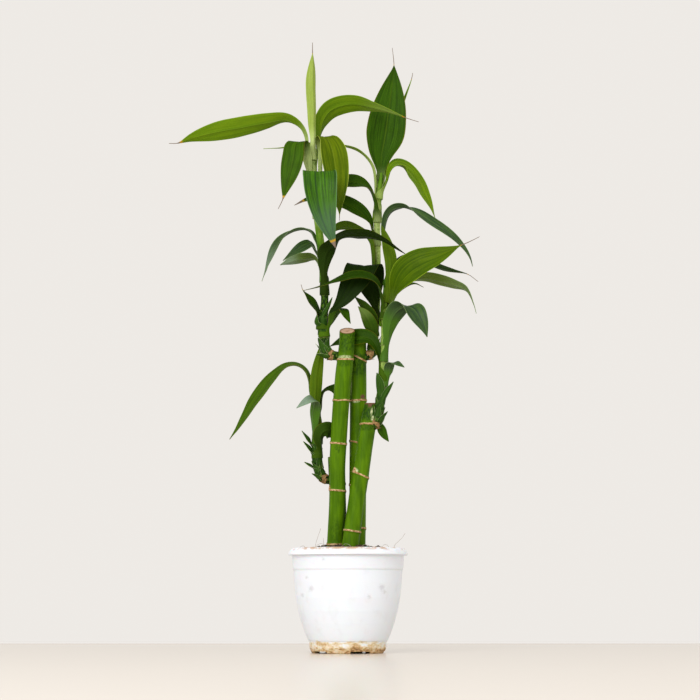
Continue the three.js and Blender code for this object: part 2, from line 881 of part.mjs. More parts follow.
  leaf_c_small_right: {
    shoot: "c", height: 299, side: 100, wide: 7, peak: 0.55,
    midrib: [
      [36.3, 315, 0, 0],
      [43, 328, 9, 20],
      [53, 336.6, 11, 35],
      [62, 339, 11, 35],
      [70, 335.6, 10, 20],
    ],
  },
  leaf_c_hang_right: {
    shoot: "c", height: 266, side: 315, wide: 20, peak: 0.62,
    midrib: [
      [36.8, 286, -17, -20],
      [38, 297, -19, -46],
      [41.4, 308, -22, -58],
      [47.6, 315.6, -26, -44],
      [54.6, 318.4, -30, 5],
      [61.4, 314.4, -33, 50],
      [66.6, 306, -35, 56],
      [70.6, 297, -36, 54],
      [73.2, 289, -36, 40],
    ],
  },
  leaf_c_thin_left: {
    shoot: "c", height: 306, side: 225, wide: 11.5, peak: 0.42,
    midrib: [
      [31, 326, -19, 0],
      [28.6, 336.6, -23, 20],
      [23, 343.6, -25, 42],
      [14, 347, -26, 50],
      [4, 346.8, -26, 50],
      [-6, 343.6, -26, 40],
      [-16, 340, -25, 25],
      [-28, 335.8, -24, 15],
      [-41, 332.6, -23, 10],
    ],
  },
  leaf_c_over_cane: {
    shoot: "c", height: 248, side: 205, wide: 15.5, peak: 0.68, slim: 0.3,
    midrib: [
      [29.4, 266, -8.4, 20],
      [28.2, 273.6, -8, 40],
      [25.6, 281.6, -7, 58],
      [21, 287.4, -5.4, 70],
      [14.6, 289.4, -3, 76],
      [9, 289.2, -1, 80],
      [4.3, 288.6, 2.2, 80],
      [-1, 287, 5.8, 78],
      [-8, 284.4, 7.6, 60],
      [-16.5, 280.6, 7, 45],
    ],
  },
  leaf_c_small_grey: {
    shoot: "c", height: 243, side: 335, wide: 10.5, peak: 0.5, neck: 6.5,
    midrib: [
      [37.6, 256, -16, -40],
      [38.4, 262.6, -18, -30],
      [41.4, 265.6, -21, 0],
      [46, 264.4, -24, 40],
      [49.8, 262.4, -25, 48],
      [52, 261, -25.5, 48],
    ],
  },
  leaf_d_erect: {
    shoot: "d", tone: "bright", height: 206, side: 270, wide: 11.5, peak: 0.5, heading: 270,
    midrib: [
      [-30, 228, 7, 0],
      [-29.6, 241, 6, 0],
      [-28.8, 254, 5.5, 0],
      [-27, 266, 5.5, 0],
      [-24.8, 277, 6, 0],
      [-22.4, 288, 6.5, 0],
    ],
  },
  leaf_d_long_left: {
    shoot: "d", height: 217, side: 165, wide: 15.5, peak: 0.62,
    midrib: [
      [-34.8, 239, 14.5, 0],
      [-35.8, 249, 15.5, 0],
      [-38.8, 257, 17, 4],
      [-43.6, 261.6, 18, 6],
      [-50.4, 263.4, 20, 20],
      [-58.4, 261, 22, 40],
      [-68.4, 252.4, 25, 54],
      [-78.4, 241, 28, 58],
      [-87.4, 228.4, 30, 58],
      [-95, 215.6, 32, 56],
      [-102, 204.2, 34, 50],
      [-109, 194.4, 35, 40],
    ],
  },
  leaf_d_small_grey: {
    shoot: "d", height: 190, side: 243, wide: 12.5, peak: 0.5, neck: 7.5, heading: 225,
    midrib: [
      [-31.2, 207, 7.4, 0],
      [-31.4, 217, 5, 0],
      [-30, 226, 0.6, 0],
      [-30.6, 231.6, -4, 26],
      [-35.6, 231.2, -8, 50],
      [-42, 227.4, -10.4, 58],
      [-47.4, 223.2, -11.4, 50],
    ],
  },
  leaf_d_right_high: {
    shoot: "d", height: 211, side: 20, wide: 15, peak: 0.8, slim: 0.56,
    midrib: [
      [-25, 224, 16, 0],
      [-24.6, 232, 16.4, 0],
      [-22.6, 238.4, 17, 0],
      [-18.8, 240.4, 18, 20],
      [-13, 239.6, 20, 70],
      [-7, 237, 23, 78],
      [-1, 233, 26, 74],
    ],
  },
  leaf_d_right_low: {
    shoot: "d", height: 177, side: 315, wide: 16, peak: 0.55, neck: 7,
    midrib: [
      [-25.6, 190.6, 6.2, -50],
      [-26, 196.4, 3, -74],
      [-23.8, 200.8, 1.4, -80],
      [-19.6, 202.8, 2.4, -80],
      [-15.6, 202.4, 6, -78],
      [-10, 199, 11, -74],
      [-5, 194, 15, -60],
    ],
  },
};

// Small scale leaves and bud tips that have grown together with a shoot
const SCALES = [
  { shoot: "a", height: 291, side: 245, wide: 5.5, peak: 0.5, heading: 235,
    midrib: [[-29, 302.5, -12.5, 0], [-28.6, 309.6, -13, 0]] },
  { shoot: "a", height: 300, side: 258, wide: 4.2, peak: 0.4, heading: 285,
    midrib: [[-19.6, 315, -13, 0], [-14.6, 326, -14, 0]] },
  { shoot: "c", height: 230, side: 250, wide: 8, neck: 8, peak: 0.5, heading: 250,
    midrib: [[29.4, 245, -16.5, 0], [26.6, 256, -17.5, 0]] },
  { shoot: "c", height: 222, side: 290, wide: 5.4, neck: 5, peak: 0.45, heading: 280,
    midrib: [[34.4, 236.4, -16.5, 0], [41.8, 247.6, -18, 0]] },
  { shoot: "c", height: 207, side: 0, wide: 9, neck: 6, peak: 0.4, free: true,
    midrib: [
      [26.2, 210.4, -8.4, 60],
      [29.6, 205.4, -7.6, 68],
      [33, 198.6, -7.6, 68],
      [37.4, 192.4, -8, 60],
    ] },
  { shoot: "d", height: 162, side: 200, wide: 4.6, neck: 4, peak: 0.4, heading: 200,
    midrib: [[-33.2, 169.4, 10.4, 50], [-40, 173.6, 9.6, 50]] },
  { shoot: "d", height: 173, side: 200, wide: 6, neck: 5, peak: 0.4, heading: 200,
    midrib: [[-34.4, 184.8, 9.4, 55], [-41, 192.6, 8.4, 55]] },
  { shoot: "d", height: 180, side: 200, wide: 6.4, neck: 5, peak: 0.45, heading: 205,
    midrib: [[-36, 193.4, 9, 60], [-42.4, 202.4, 7.6, 55]] },
];

// Half-width of a leaf and the half-angle that it is cupped by, at a part of its length.
// `sheath` is the part of the length that clasps the shoot, and `dry` the part before a thread.
function section(leaf, part, base, sheath, dry) {
  const neck = leaf.neck ?? Math.min(NECK_WIDTH, NECK_SHARE * leaf.wide);
  const clasp = leaf.free ? neck : 2 * base * degrees(SHEATH_WRAP);
  const neckEnd = sheath + NECK_PART;
  const slim = Math.max(neckEnd, leaf.slim ?? 0);
  const peak = Math.max(leaf.peak * dry, slim + LEAST_RISE);
  let width;
  if (part < sheath) width = clasp;
  else if (part < neckEnd) width = clasp + (neck - clasp) * ((part - sheath) / (neckEnd - sheath));
  else if (part < peak) {
    const rise = Math.max(0, part - slim) / (peak - slim);
    width = neck + (leaf.wide - neck) * Math.sin((Math.PI / 2) * rise) ** RISE_POWER;
  } else if (part < dry) {
    const fall = (part - peak) / (dry - peak);
    width = TIP_WIDTH + (leaf.wide - TIP_WIDTH) * (1 - fall ** FALL_POWERS[0]) ** FALL_POWERS[1];
  } else width = TIP_WIDTH;
  const blade = leaf.rolled ? ROLLED_WRAP : BLADE_WRAP;
  const cups = [[0, SHEATH_WRAP], [sheath, SHEATH_WRAP], [neckEnd, NECK_WRAP], [slim, NECK_WRAP]];
  const wrap = between([...cups, [peak, blade], [1, TIP_WRAP]], part);
  return { half: width / 2, wrap: degrees(wrap) };
}

// Closed solid of one leaf: a base that clasps the shoot, a channelled neck and a pointed blade.
// A free leaf starts inside the shoot, without a clasping base.
function leafSolid(leaf, clearance) {
  const shoot = SHOOTS[leaf.shoot];
  const out = new THREE.Vector3(Math.cos(degrees(leaf.side)), Math.sin(degrees(leaf.side)), 0);
  const heights = leaf.free ? [] : [leaf.height, leaf.height + SHEATH_LENGTH];
  const seats = heights.map((z) => shootAt(shoot, z));
  const spans = leaf.wide > NARROW_LEAF ? 4 : 2;
  const stem = Math.max(0, ...seats.map(({ radius }) => radius));
  const base = (stem + clearance) / Math.cos(degrees(SHEATH_WRAP / spans));
  const rows = [...leaf.midrib, ...(leaf.thread ?? [])];
  const stations = rows.map(sight);
  if (seats.length > 0) {
    const rise = seats[1].centre.clone().sub(seats[0].centre).normalize();
    const outward = out.clone().addScaledVector(rise, -out.dot(rise)).normalize();
    stations.unshift(...seats.map(({ centre }) => centre.clone().addScaledVector(outward, base)));
  }
  const curve = new THREE.CatmullRomCurve3(stations, false, "centripetal");
  const reach = stations[stations.length - 1].clone().sub(stations[0]);
  const heading = leaf.heading === undefined ? Math.atan2(reach.y, reach.x) : degrees(leaf.heading);
  const level = new THREE.Vector3(-Math.sin(heading), Math.cos(heading), 0);
  const clasping = new THREE.Vector3(-out.y, out.x, 0);
  const turn = Math.cos(heading) >= 0 ? 1 : -1;
  const twists = [...seats.map(() => 0), ...rows.map(([, , , twist]) => twist)];
  const acrosses = stations.map((_, i) => {
    const forward = curve.getTangent(i / (stations.length - 1));
    const flat = i < seats.length ? clasping : level;
    const side = flat.clone().addScaledVector(forward, -flat.dot(forward)).normalize();
    return side.applyAxisAngle(forward, degrees(twists[i]) * turn);
  });
  const lengths = curve.getLengths(LENGTH_SAMPLES);
  const total = lengths[LENGTH_SAMPLES];
  const partAt = (i) => lengths[Math.round((LENGTH_SAMPLES * i) / (stations.length - 1))] / total;
  const dry = leaf.thread ? partAt(stations.length - 1 - leaf.thread.length) : 1;
  const sheath = leaf.free ? 0 : partAt(1);
  const strips = Math.max(LEAST_STRIPS, Math.round(total / LEAF_STEP));
  const upper = [];
  const lower = [];
  for (let j = 0; j <= strips; j += 1) {
    const part = j / strips;
    const place = curve.getUtoTmapping(part) * (stations.length - 1);
    const index = Math.min(stations.length - 2, Math.floor(place));
    const centre = curve.getPointAt(part);
    const forward = curve.getTangentAt(part);
    const across = acrosses[index].clone().lerp(acrosses[index + 1], place - index);
    across.addScaledVector(forward, -across.dot(forward)).normalize();
    const normal = new THREE.Vector3().crossVectors(forward, across);
    const { half, wrap: cup } = section(leaf, part, base, sheath, dry);
    const ahead = curve.getTangentAt(Math.min(1, part + BEND_SPAN));
    const behind = curve.getTangentAt(Math.max(0, part - BEND_SPAN));
    const bend = ahead.sub(behind).dot(normal) / (2 * BEND_SPAN * total);
    const wrap = part > sheath ? cup / (1 + (bend * half) ** 2) : cup; // a sharp bend flattens it
    const radius = half / wrap;
    const wave = EDGE_WAVE * half * Math.sin(2 * Math.PI * EDGE_WAVES * part);
    for (let k = 0; k <= spans; k += 1) {
      const u = (2 * k) / spans - 1;
      const inward = normal.clone().multiplyScalar(Math.cos(wrap * u));
      inward.addScaledVector(across, -Math.sin(wrap * u));
      const top = centre
        .clone()
        .addScaledVector(across, radius * Math.sin(wrap * u))
        .addScaledVector(normal, radius * (1 - Math.cos(wrap * u)) + wave * u * u * Math.sign(u));
      upper.push(top);
      lower.push(top.clone().addScaledVector(inward, -LEAF_THICKNESS));
    }
  }
  return solidOf(leafSkin(upper, lower, strips, spans));
}

// Closed skin over the two faces of a leaf, both split into triangles the same way
function leafSkin(upper, lower, strips, spans) {
  const count = upper.length;
  const top = (j, k) => j * (spans + 1) + k;
  const bottom = (j, k) => count + top(j, k);
  const triangles = [];
  for (let j = 0; j < strips; j += 1) {
    for (let k = 0; k < spans; k += 1) {
      const corners = [[j, k], [j, k + 1], [j + 1, k + 1], [j + 1, k]];
      const [a, b, c, d] = corners.map(([row, column]) => top(row, column));
      triangles.push([a, c, b], [a, d, c]);
      const [e, f, g, h] = corners.map(([row, column]) => bottom(row, column));
      triangles.push([e, f, g], [e, g, h]);
    }
    const right = [top(j, spans), top(j + 1, spans), bottom(j + 1, spans), bottom(j, spans)];
    triangles.push([right[0], right[1], right[2]], [right[0], right[2], right[3]]);
    const left = [top(j, 0), bottom(j, 0), bottom(j + 1, 0), top(j + 1, 0)];
    triangles.push([left[0], left[1], left[2]], [left[0], left[2], left[3]]);
  }
  for (let k = 0; k < spans; k += 1) {
    const first = [top(0, k), top(0, k + 1), bottom(0, k + 1), bottom(0, k)];
    triangles.push([first[0], first[1], first[2]], [first[0], first[2], first[3]]);
    const end = [top(strips, k), bottom(strips, k), bottom(strips, k + 1), top(strips, k + 1)];
    triangles.push([end[0], end[1], end[2]], [end[0], end[2], end[3]]);
  }
  return geometryOf([...upper, ...lower], triangles);
}

function shoots() {
  const green = finish(0x5f8a1e, 0.4);
  for (const [key, shoot] of Object.entries(SHOOTS)) {
    let body = shootTube(shoot);
    for (const scale of SCALES.filter((one) => one.shoot === key)) {
      body = body.add(leafSolid(scale, -SCALE_SUNK));
    }
    body = body.subtract(caneSolid(CANES[shoot.cane], GAP));
    add(`shoot_${key}`, geometryFrom(body), green);
  }
}

function leaves() {
  const tones = { dark: 0x2c5412, bright: 0x5c9314, young: 0x93ac3a };
  for (const [name, leaf] of Object.entries(LEAVES)) {
    const color = tones[leaf.tone ?? "dark"];
    add(name, geometryFrom(leafSolid(leaf, GAP)), finish(color, 0.36));
  }
}

pot();
soil();
canes();
shoots();
leaves();

export default group;
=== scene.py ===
"""Potted lucky bamboo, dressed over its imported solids.

Four cut canes stand in a white nursery pot, and each has one leafy side shoot. Every solid of the
plant is replaced by a finer mesh of the same form, with its veins, node rings, dried tips and
stains. Sizes are in millimetres and angles in degrees, as in the part's own source.
"""

import logging
import math
import random
from collections.abc import Sequence
from dataclasses import dataclass, field
from enum import Enum
from typing import Any

import bmesh
import bpy
import numpy as np
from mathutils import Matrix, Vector, noise


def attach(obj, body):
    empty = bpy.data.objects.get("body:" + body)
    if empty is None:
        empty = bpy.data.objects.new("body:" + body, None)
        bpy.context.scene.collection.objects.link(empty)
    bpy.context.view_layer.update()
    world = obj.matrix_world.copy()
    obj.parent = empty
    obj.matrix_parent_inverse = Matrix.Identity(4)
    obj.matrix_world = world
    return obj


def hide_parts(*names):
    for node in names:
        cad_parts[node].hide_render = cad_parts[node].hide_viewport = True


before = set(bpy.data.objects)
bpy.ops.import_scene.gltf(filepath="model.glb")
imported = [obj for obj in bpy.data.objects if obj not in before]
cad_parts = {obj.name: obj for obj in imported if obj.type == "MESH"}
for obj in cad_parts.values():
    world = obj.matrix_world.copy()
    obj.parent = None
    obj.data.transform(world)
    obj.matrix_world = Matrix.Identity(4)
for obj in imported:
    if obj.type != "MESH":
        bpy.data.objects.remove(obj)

logging.basicConfig(level=logging.INFO, format="%(message)s")
log = logging.getLogger("bamboo")

MM = 0.001
BODY = "root"
SEED = 11

# The front view that the plant's points are given in
EYE_DISTANCE = 2000.0
EYE_HEIGHT = 50.0

# A leaf wider than this has more faces across, in the solids too
WIDE_LEAF = 12.5

Point = tuple[float, ...]


def linear(code: str) -> tuple[float, float, float, float]:
    """Turns an sRGB hex colour into linear values.

    Args:
        code: the colour as six hex digits after a number sign.

    Returns:
        Red, green, blue and an alpha of one.
    """
    parts = [int(code[i : i + 2], 16) / 255 for i in (1, 3, 5)]
    curve = [c / 12.92 if c <= 0.04045 else ((c + 0.055) / 1.055) ** 2.4 for c in parts]
    return (*curve, 1.0)


class Field:
    """A number or a colour that varies over a surface. Arithmetic on it adds the nodes."""

    def __init__(self, tree: bpy.types.NodeTree, socket: bpy.types.NodeSocket) -> None:
        """Keeps the output that carries it."""
        self.tree = tree
        self.socket = socket

    def math(self, operation: str, *others: "Field | float", clamp: bool = False) -> "Field":
        """One step of arithmetic with others, kept between zero and one if it is clamped."""
        values = {"operation": operation, "use_clamp": clamp, **dict(enumerate((self, *others)))}
        return Field(self.tree, add_node(self.tree, "ShaderNodeMath", values).outputs[0])

    def __add__(self, other: "Field | float") -> "Field":
        """The sum with another."""
        return self.math("ADD", other)

    def __sub__(self, other: "Field | float") -> "Field":
        """What is left after another is taken away."""
        return self.math("SUBTRACT", other)

    def __mul__(self, other: "Field | float") -> "Field":
        """The product with another."""
        return self.math("MULTIPLY", other)

    def ease(self, low: float, high: float) -> "Field":
        """Goes smoothly from zero at low to one at high, which may be the smaller one."""
        values = {"interpolation_type": "SMOOTHSTEP", "From Min": low, "From Max": high}
        node = add_node(self.tree, "ShaderNodeMapRange", {**values, "Value": self})
        return Field(self.tree, node.outputs["Result"])

    def lay(self, color: "Field | str", amount: "Field | float") -> "Field":
        """Lays some of another colour over this one."""
        values = {"data_type": "RGBA", 0: amount, 6: self, 7: color}
        return Field(self.tree, add_node(self.tree, "ShaderNodeMix", values).outputs[2])


def fill(tree: bpy.types.NodeTree, node: bpy.types.Node, values: dict[str | int, Any]) -> None:
    """Gives a node its settings and links.

    Args:
        tree: the node tree.
        node: one of its nodes.
        values: settings by property name, and inputs by name or number. A field or a socket is
            linked, and an input's hex colour is turned to linear values.
    """
    for key, value in values.items():
        if isinstance(key, str) and hasattr(node, key):
            setattr(node, key, value)
        elif isinstance(value, Field):
            tree.links.new(value.socket, node.inputs[key])
        elif isinstance(value, bpy.types.NodeSocket):
            tree.links.new(value, node.inputs[key])
        elif isinstance(value, str) and value.startswith("#"):
            node.inputs[key].default_value = linear(value)
        else:
            node.inputs[key].default_value = value


def add_node(
    tree: bpy.types.NodeTree, kind: str, values: dict[str | int, Any] | None = None
) -> bpy.types.Node:
    """Adds a node with its settings and links.

    Args:
        tree: the node tree.
        kind: the node's type name.
        values: its settings and links.

    Returns:
        The new node.
    """
    node = tree.nodes.new(kind)
    fill(tree, node, values or {})
    return node


class Surface:
    """What a finish is laid out on: a material's nodes, and places on the piece."""

    def __init__(self, material: bpy.types.Material) -> None:
        """Takes up a material.

        Args:
            material: a new one.
        """
        material.use_nodes = True
        self.tree = material.node_tree
        self.shader = self.tree.nodes["Principled BSDF"]
        self.body = self.add("ShaderNodeTexCoord", {}, "Object")

    def add(self, kind: str, values: dict[str | int, Any], output: str | int = 0) -> Field:
        """Adds a node, and gives one of its outputs as a field."""
        return Field(self.tree, add_node(self.tree, kind, values).outputs[output])

    def carried(self, *names: str) -> list[Field]:
        """The values of these names that the mesh carries at its points."""
        return [self.add("ShaderNodeAttribute", {"attribute_name": name}, "Fac") for name in names]

    def grain(
        self, size: Point, detail: float = 3.0, rough: float = 0.5, place: Field | None = None
    ) -> Field:
        """A pattern with a real grain size.

        Args:
            size: width of the grain in millimetres along X, Y and Z.
            detail: how many times it is broken up.
            rough: how strong the finer parts are.
            place: coordinates in metres, where they aren't the piece's own.

        Returns:
            A value around one half.
        """
        scale = tuple(1 / (axis * MM) for axis in size)
        values = {"Scale": scale, "Vector": place or self.body}
        stretched = self.add("ShaderNodeMapping", values)
        values = {"Scale": 1.0, "Detail": detail, "Roughness": rough, "Vector": stretched}
        return self.add("ShaderNodeTexNoise", values, "Fac")

    def blend(self, first: Field | str, second: Field | str, amount: Field | float) -> Field:
        """Goes from one colour to another by an amount."""
        values = {"data_type": "RGBA", 0: amount, 6: first, 7: second}
        return self.add("ShaderNodeMix", values, 2)

    def dress(
        self,
        color: Field,
        rough: Field | float,
        relief: Field,
        depth: float,
        gloss: dict[str, Any] | None = None,
    ) -> None:
        """Puts everything on the shader.

        Args:
            color: of the surface.
            rough: its roughness.
            relief: height from zero to one.
            depth: the height of one, in millimetres.
            gloss: more of the shader's inputs, which are the same all over.
        """
        values = {"Strength": 1.0, "Distance": depth * MM, "Height": relief}
        normal = self.add("ShaderNodeBump", values)
        values = {"Base Color": color, "Roughness": rough, "Normal": normal, **(gloss or {})}
        fill(self.tree, self.shader, values)


@dataclass(frozen=True)
class Finish:
    """A material named for what the real one is.

    Attributes:
        name: the material's common name and how it was made.
        roughness: of its surface.
    """

    name: str
    roughness: float

    def shade(self, on: Surface) -> None:
        """Lays out the colour, roughness and relief."""
        raise NotImplementedError

    def rough(self, amount: Field, most: float) -> Field:
        """Roughness that varies over the surface.

        Args:
            amount: from zero, where it is the usual one, to one.
            most: what it is where the amount is one.

        Returns:
            The roughness.
        """
        values = {"To Min": self.roughness, "To Max": most, "Value": amount}
        node = add_node(amount.tree, "ShaderNodeMapRange", values)
        return Field(amount.tree, node.outputs["Result"])

    def material(self) -> bpy.types.Material:
        """Makes the material once and returns it."""
        found = bpy.data.materials.get(self.name)
        if found:
            return found
        material = bpy.data.materials.new(self.name)
        self.shade(Surface(material))
        return material


@dataclass(frozen=True)
class LeafFinish(Finish):
    """Living leaf of a dracaena: waxy skin over parallel veins, which show as fine stripes.

    Attributes:
        upper: colour of the upper face.
        vein: colour of the paler stripes.
        under: colour of the lower face, which has less wax and looks greyer.
        outer: colour that the outer half turns to.
        deep: colour of its darker clouds.
        base: colour where the blade meets its sheath.
        edge: colour of its thin margin.
        dried: colour of a dead tip.
        faded: colour of a tip that pales.
        shine: strength of the wax's gloss.
        stripes: how much of the paler stripes shows.
        glow: how much light goes through the blade.
        pale: colour that a light leaf leans to.
        dim: colour that a dark leaf leans to.
        neck: colour of a light neck.
        dim_neck: colour that a dark leaf's neck leans to.
        dying: colour between the living part and the dead tip.
    """

    upper: str
    vein: str
    under: str
    outer: str
    deep: str = "#142603"
    base: str = "#46660c"
    edge: str = "#67660f"
    dried: str = "#7b6a5c"
    faded: str = "#9db665"
    shine: float = 0.05
    stripes: float = 0.7
    glow: float = 0.04
    pale: str = "#7f9a1e"
    dim: str = "#081203"
    neck: str = "#c4d68a"
    dim_neck: str = "#0e1806"
    dying: str = "#b8922a"

    def shade(self, on: Surface) -> None:
        """Lays out stripes across the blade, a pale base, a rib, a margin and a dried tip.

        Args:
            on: what it is laid out on.
        """
        flat = {"Vector": on.add("ShaderNodeUVMap", {"uv_map": "blade"})}
        across, along = (on.add("ShaderNodeSeparateXYZ", flat, axis) for axis in "XY")
        names = ("dry", "under", "tint", "fade", "light", "stalk")
        dry, under, tint, fade, light, stalk = on.carried(*names)
        real = on.add("ShaderNodeUVMap", {"uv_map": "veins"})
        # Real veins stand 0.3 mm apart. Groups of them are drawn too, as those alone are too fine
        veins = on.grain((0.34, 45, 1), 1.0, place=real)
        streaks = on.grain((1.5, 60, 1), 3.0, 0.55, real)
        bands = on.grain((4.2, 38, 1), 2.0, place=real)
        cloud = on.grain((15, 15, 15), 2.0)
        color = on.blend(self.upper, self.outer, along.ease(0.35, 0.75) * 0.8)
        color = color.lay(self.vein, streaks.ease(0.44, 0.62) * self.stripes)
        color = color.lay(self.vein, veins.ease(0.45, 0.7) * 0.4)
        color = color.lay(self.deep, veins.ease(0.5, 0.3) * 0.35)
        color = color.lay(self.vein, bands.ease(0.48, 0.66) * (0.6 * self.stripes))
        shaded = bands.ease(0.5, 0.36) * (0.5 * self.stripes)
        color = color.lay(color.lay(self.deep, 0.5), shaded)
        color = color.lay(color.lay(self.deep, 0.55), cloud.ease(0.45, 0.75) * 0.45)
        color = color.lay(on.blend(self.under, color, 0.6), under)
        dark = tint.math("MULTIPLY", -0.9, clamp=True)
        color = color.lay(self.pale, tint.math("MULTIPLY", 0.45, clamp=True))
        color = color.lay(self.dim, dark)
        color = color.lay(self.faded, fade * along.ease(0.6, 0.85))
        off = (across - 0.5).math("ABSOLUTE")
        color = color.lay(self.edge, off.ease(0.022, 0.008) * 0.12 * dark.ease(0.5, 0.1))
        color = color.lay(self.edge, off.ease(0.478, 0.492) * dark.ease(1.0, 0.2))
        neck = on.blend(self.base, self.neck, light)
        neck = neck.lay(self.vein, streaks.ease(0.4, 0.7) * 0.35).lay(self.dim_neck, dark)
        color = color.lay(neck, stalk * 0.9)
        ragged = dry + streaks * 0.5
        color = color.lay(self.dying, ragged.ease(0.42, 0.66))
        color = color.lay(self.dried, ragged.ease(0.78, 1.0))
        rough = self.rough(on.grain((5, 5, 5)).ease(0.45, 0.8), self.roughness + 0.2)
        gloss = {
            "IOR": 1.42,
            "Specular IOR Level": self.shine,
            "Subsurface Weight": self.glow,
            "Subsurface Radius": (0.6, 1.0, 0.1),
            "Subsurface Scale": 1.5 * MM,
        }
        relief = veins + streaks * 1.5
        on.dress(color, rough + under * 0.14, relief, 0.1, gloss)


@dataclass(frozen=True)
class DryFinish(Finish):
    """Papery dead tissue of bud scales: brown, matt, finely ribbed.

    Attributes:
        color: of its fibres.
        light: colour of its bleached ridges.
    """

    color: str = "#7c5a34"
    light: str = "#b8955e"

    def shade(self, on: Surface) -> None:
        """Lays out brown fibres with bleached ridges.

        Args:
            on: what it is laid out on.
        """
        fibre = on.grain((0.7, 0.7, 4))
        color = on.blend(self.color, self.light, fibre.ease(0.4, 0.7))
        on.dress(color, self.roughness, fibre, 0.2)


@dataclass(frozen=True)
class StemFinish(Finish):
    """Smooth living bark: green skin with lengthwise fibres, tan rings at the nodes.

    Attributes:
        green: colour of the skin.
        light: colour of its lighter streaks.
        shade_green: colour of its darker clouds.
        ring: colour of the node rings.
        ring_edge: colour of the rings' weathered edges.
        deep: colour of its darker parts, painted shade among them.
        pale: colour of its bloom and scars, and of the painted highlight on the shoots' pale
            lengths.
        dried: colour of torn, dried skin.
        speck: colour of its pores.
        wood: places and colours of the cut, from the pith to the bark.
    """

    CARRIED = ("deep", "pale", "dried", "ring", "cut", "radial")

    green: str
    light: str
    shade_green: str
    ring: str = "#d2b288"
    ring_edge: str = "#8e663e"
    deep: str = "#23420a"
    pale: str = "#c6cc9e"
    dried: str = "#6a473a"
    speck: str = "#2c3a10"
    wood: tuple[tuple[float, str], ...] = (
        (0.0, "#a77f62"),
        (0.45, "#c9a78b"),
        (0.8, "#c8a68a"),
        (0.93, "#8a5d3c"),
        (1.0, "#5f4a22"),
    )

    def shade(self, on: Surface) -> None:
        """Lays out streaks along the stem, bloom and rings, and the wood of the cut.

        Args:
            on: what it is laid out on.
        """
        fibre = on.grain((0.9, 0.9, 24))
        color = on.blend(self.green, self.light, on.grain((4.5, 4.5, 34), 2.0).ease(0.36, 0.7))
        color = color.lay(self.light, fibre.ease(0.42, 0.7) * 0.35)
        color = color.lay(self.shade_green, on.grain((14, 14, 20), 2.0).ease(0.5, 0.8) * 0.5)
        specks = on.grain((0.8, 0.8, 1.6), 1.0)
        color = color.lay(self.speck, specks.ease(0.7, 0.76) * 0.5)
        flecks = on.grain((1.6, 1.6, 2.6), 3.0, 0.6).ease(0.4, 0.6) + 0.45
        deep, pale, dried, ring, cut, radial = on.carried(*self.CARRIED)
        for code, spread in ((self.deep, deep), (self.pale, pale), (self.dried, dried)):
            color = color.lay(code, spread.math("MULTIPLY", flecks, clamp=True))
        weathered = on.grain((2.2, 2.2, 0.8)).ease(0.38, 0.66)
        rings = on.blend(self.ring_edge, self.ring, weathered)
        color = color.lay(rings, (ring + (specks - 0.5) * 0.5).ease(0.3, 0.62))
        grown = radial + (fibre - 0.5) * 0.3
        color = color.lay(self.sawn(on, grown), cut)
        rough = self.rough(ring.ease(0.3, 0.7).math("MAXIMUM", cut), 0.8)
        gloss = {"IOR": 1.45, "Specular IOR Level": 0.07}
        on.dress(color, rough, fibre + specks * ring, 0.16, gloss)

    def sawn(self, on: Surface, grown: Field) -> Field:
        """Colour of the cut wood.

        Args:
            on: what it is laid out on.
            grown: how far out the wood has grown, from zero to one.

        Returns:
            The colour.
        """
        node = add_node(on.tree, "ShaderNodeValToRGB", {"Fac": grown})
        elements = node.color_ramp.elements
        while len(elements) < len(self.wood):
            elements.new(1.0)
        for element, (place, code) in zip(elements, self.wood):
            element.position = place
            element.color = linear(code)
        return Field(on.tree, node.outputs["Color"])


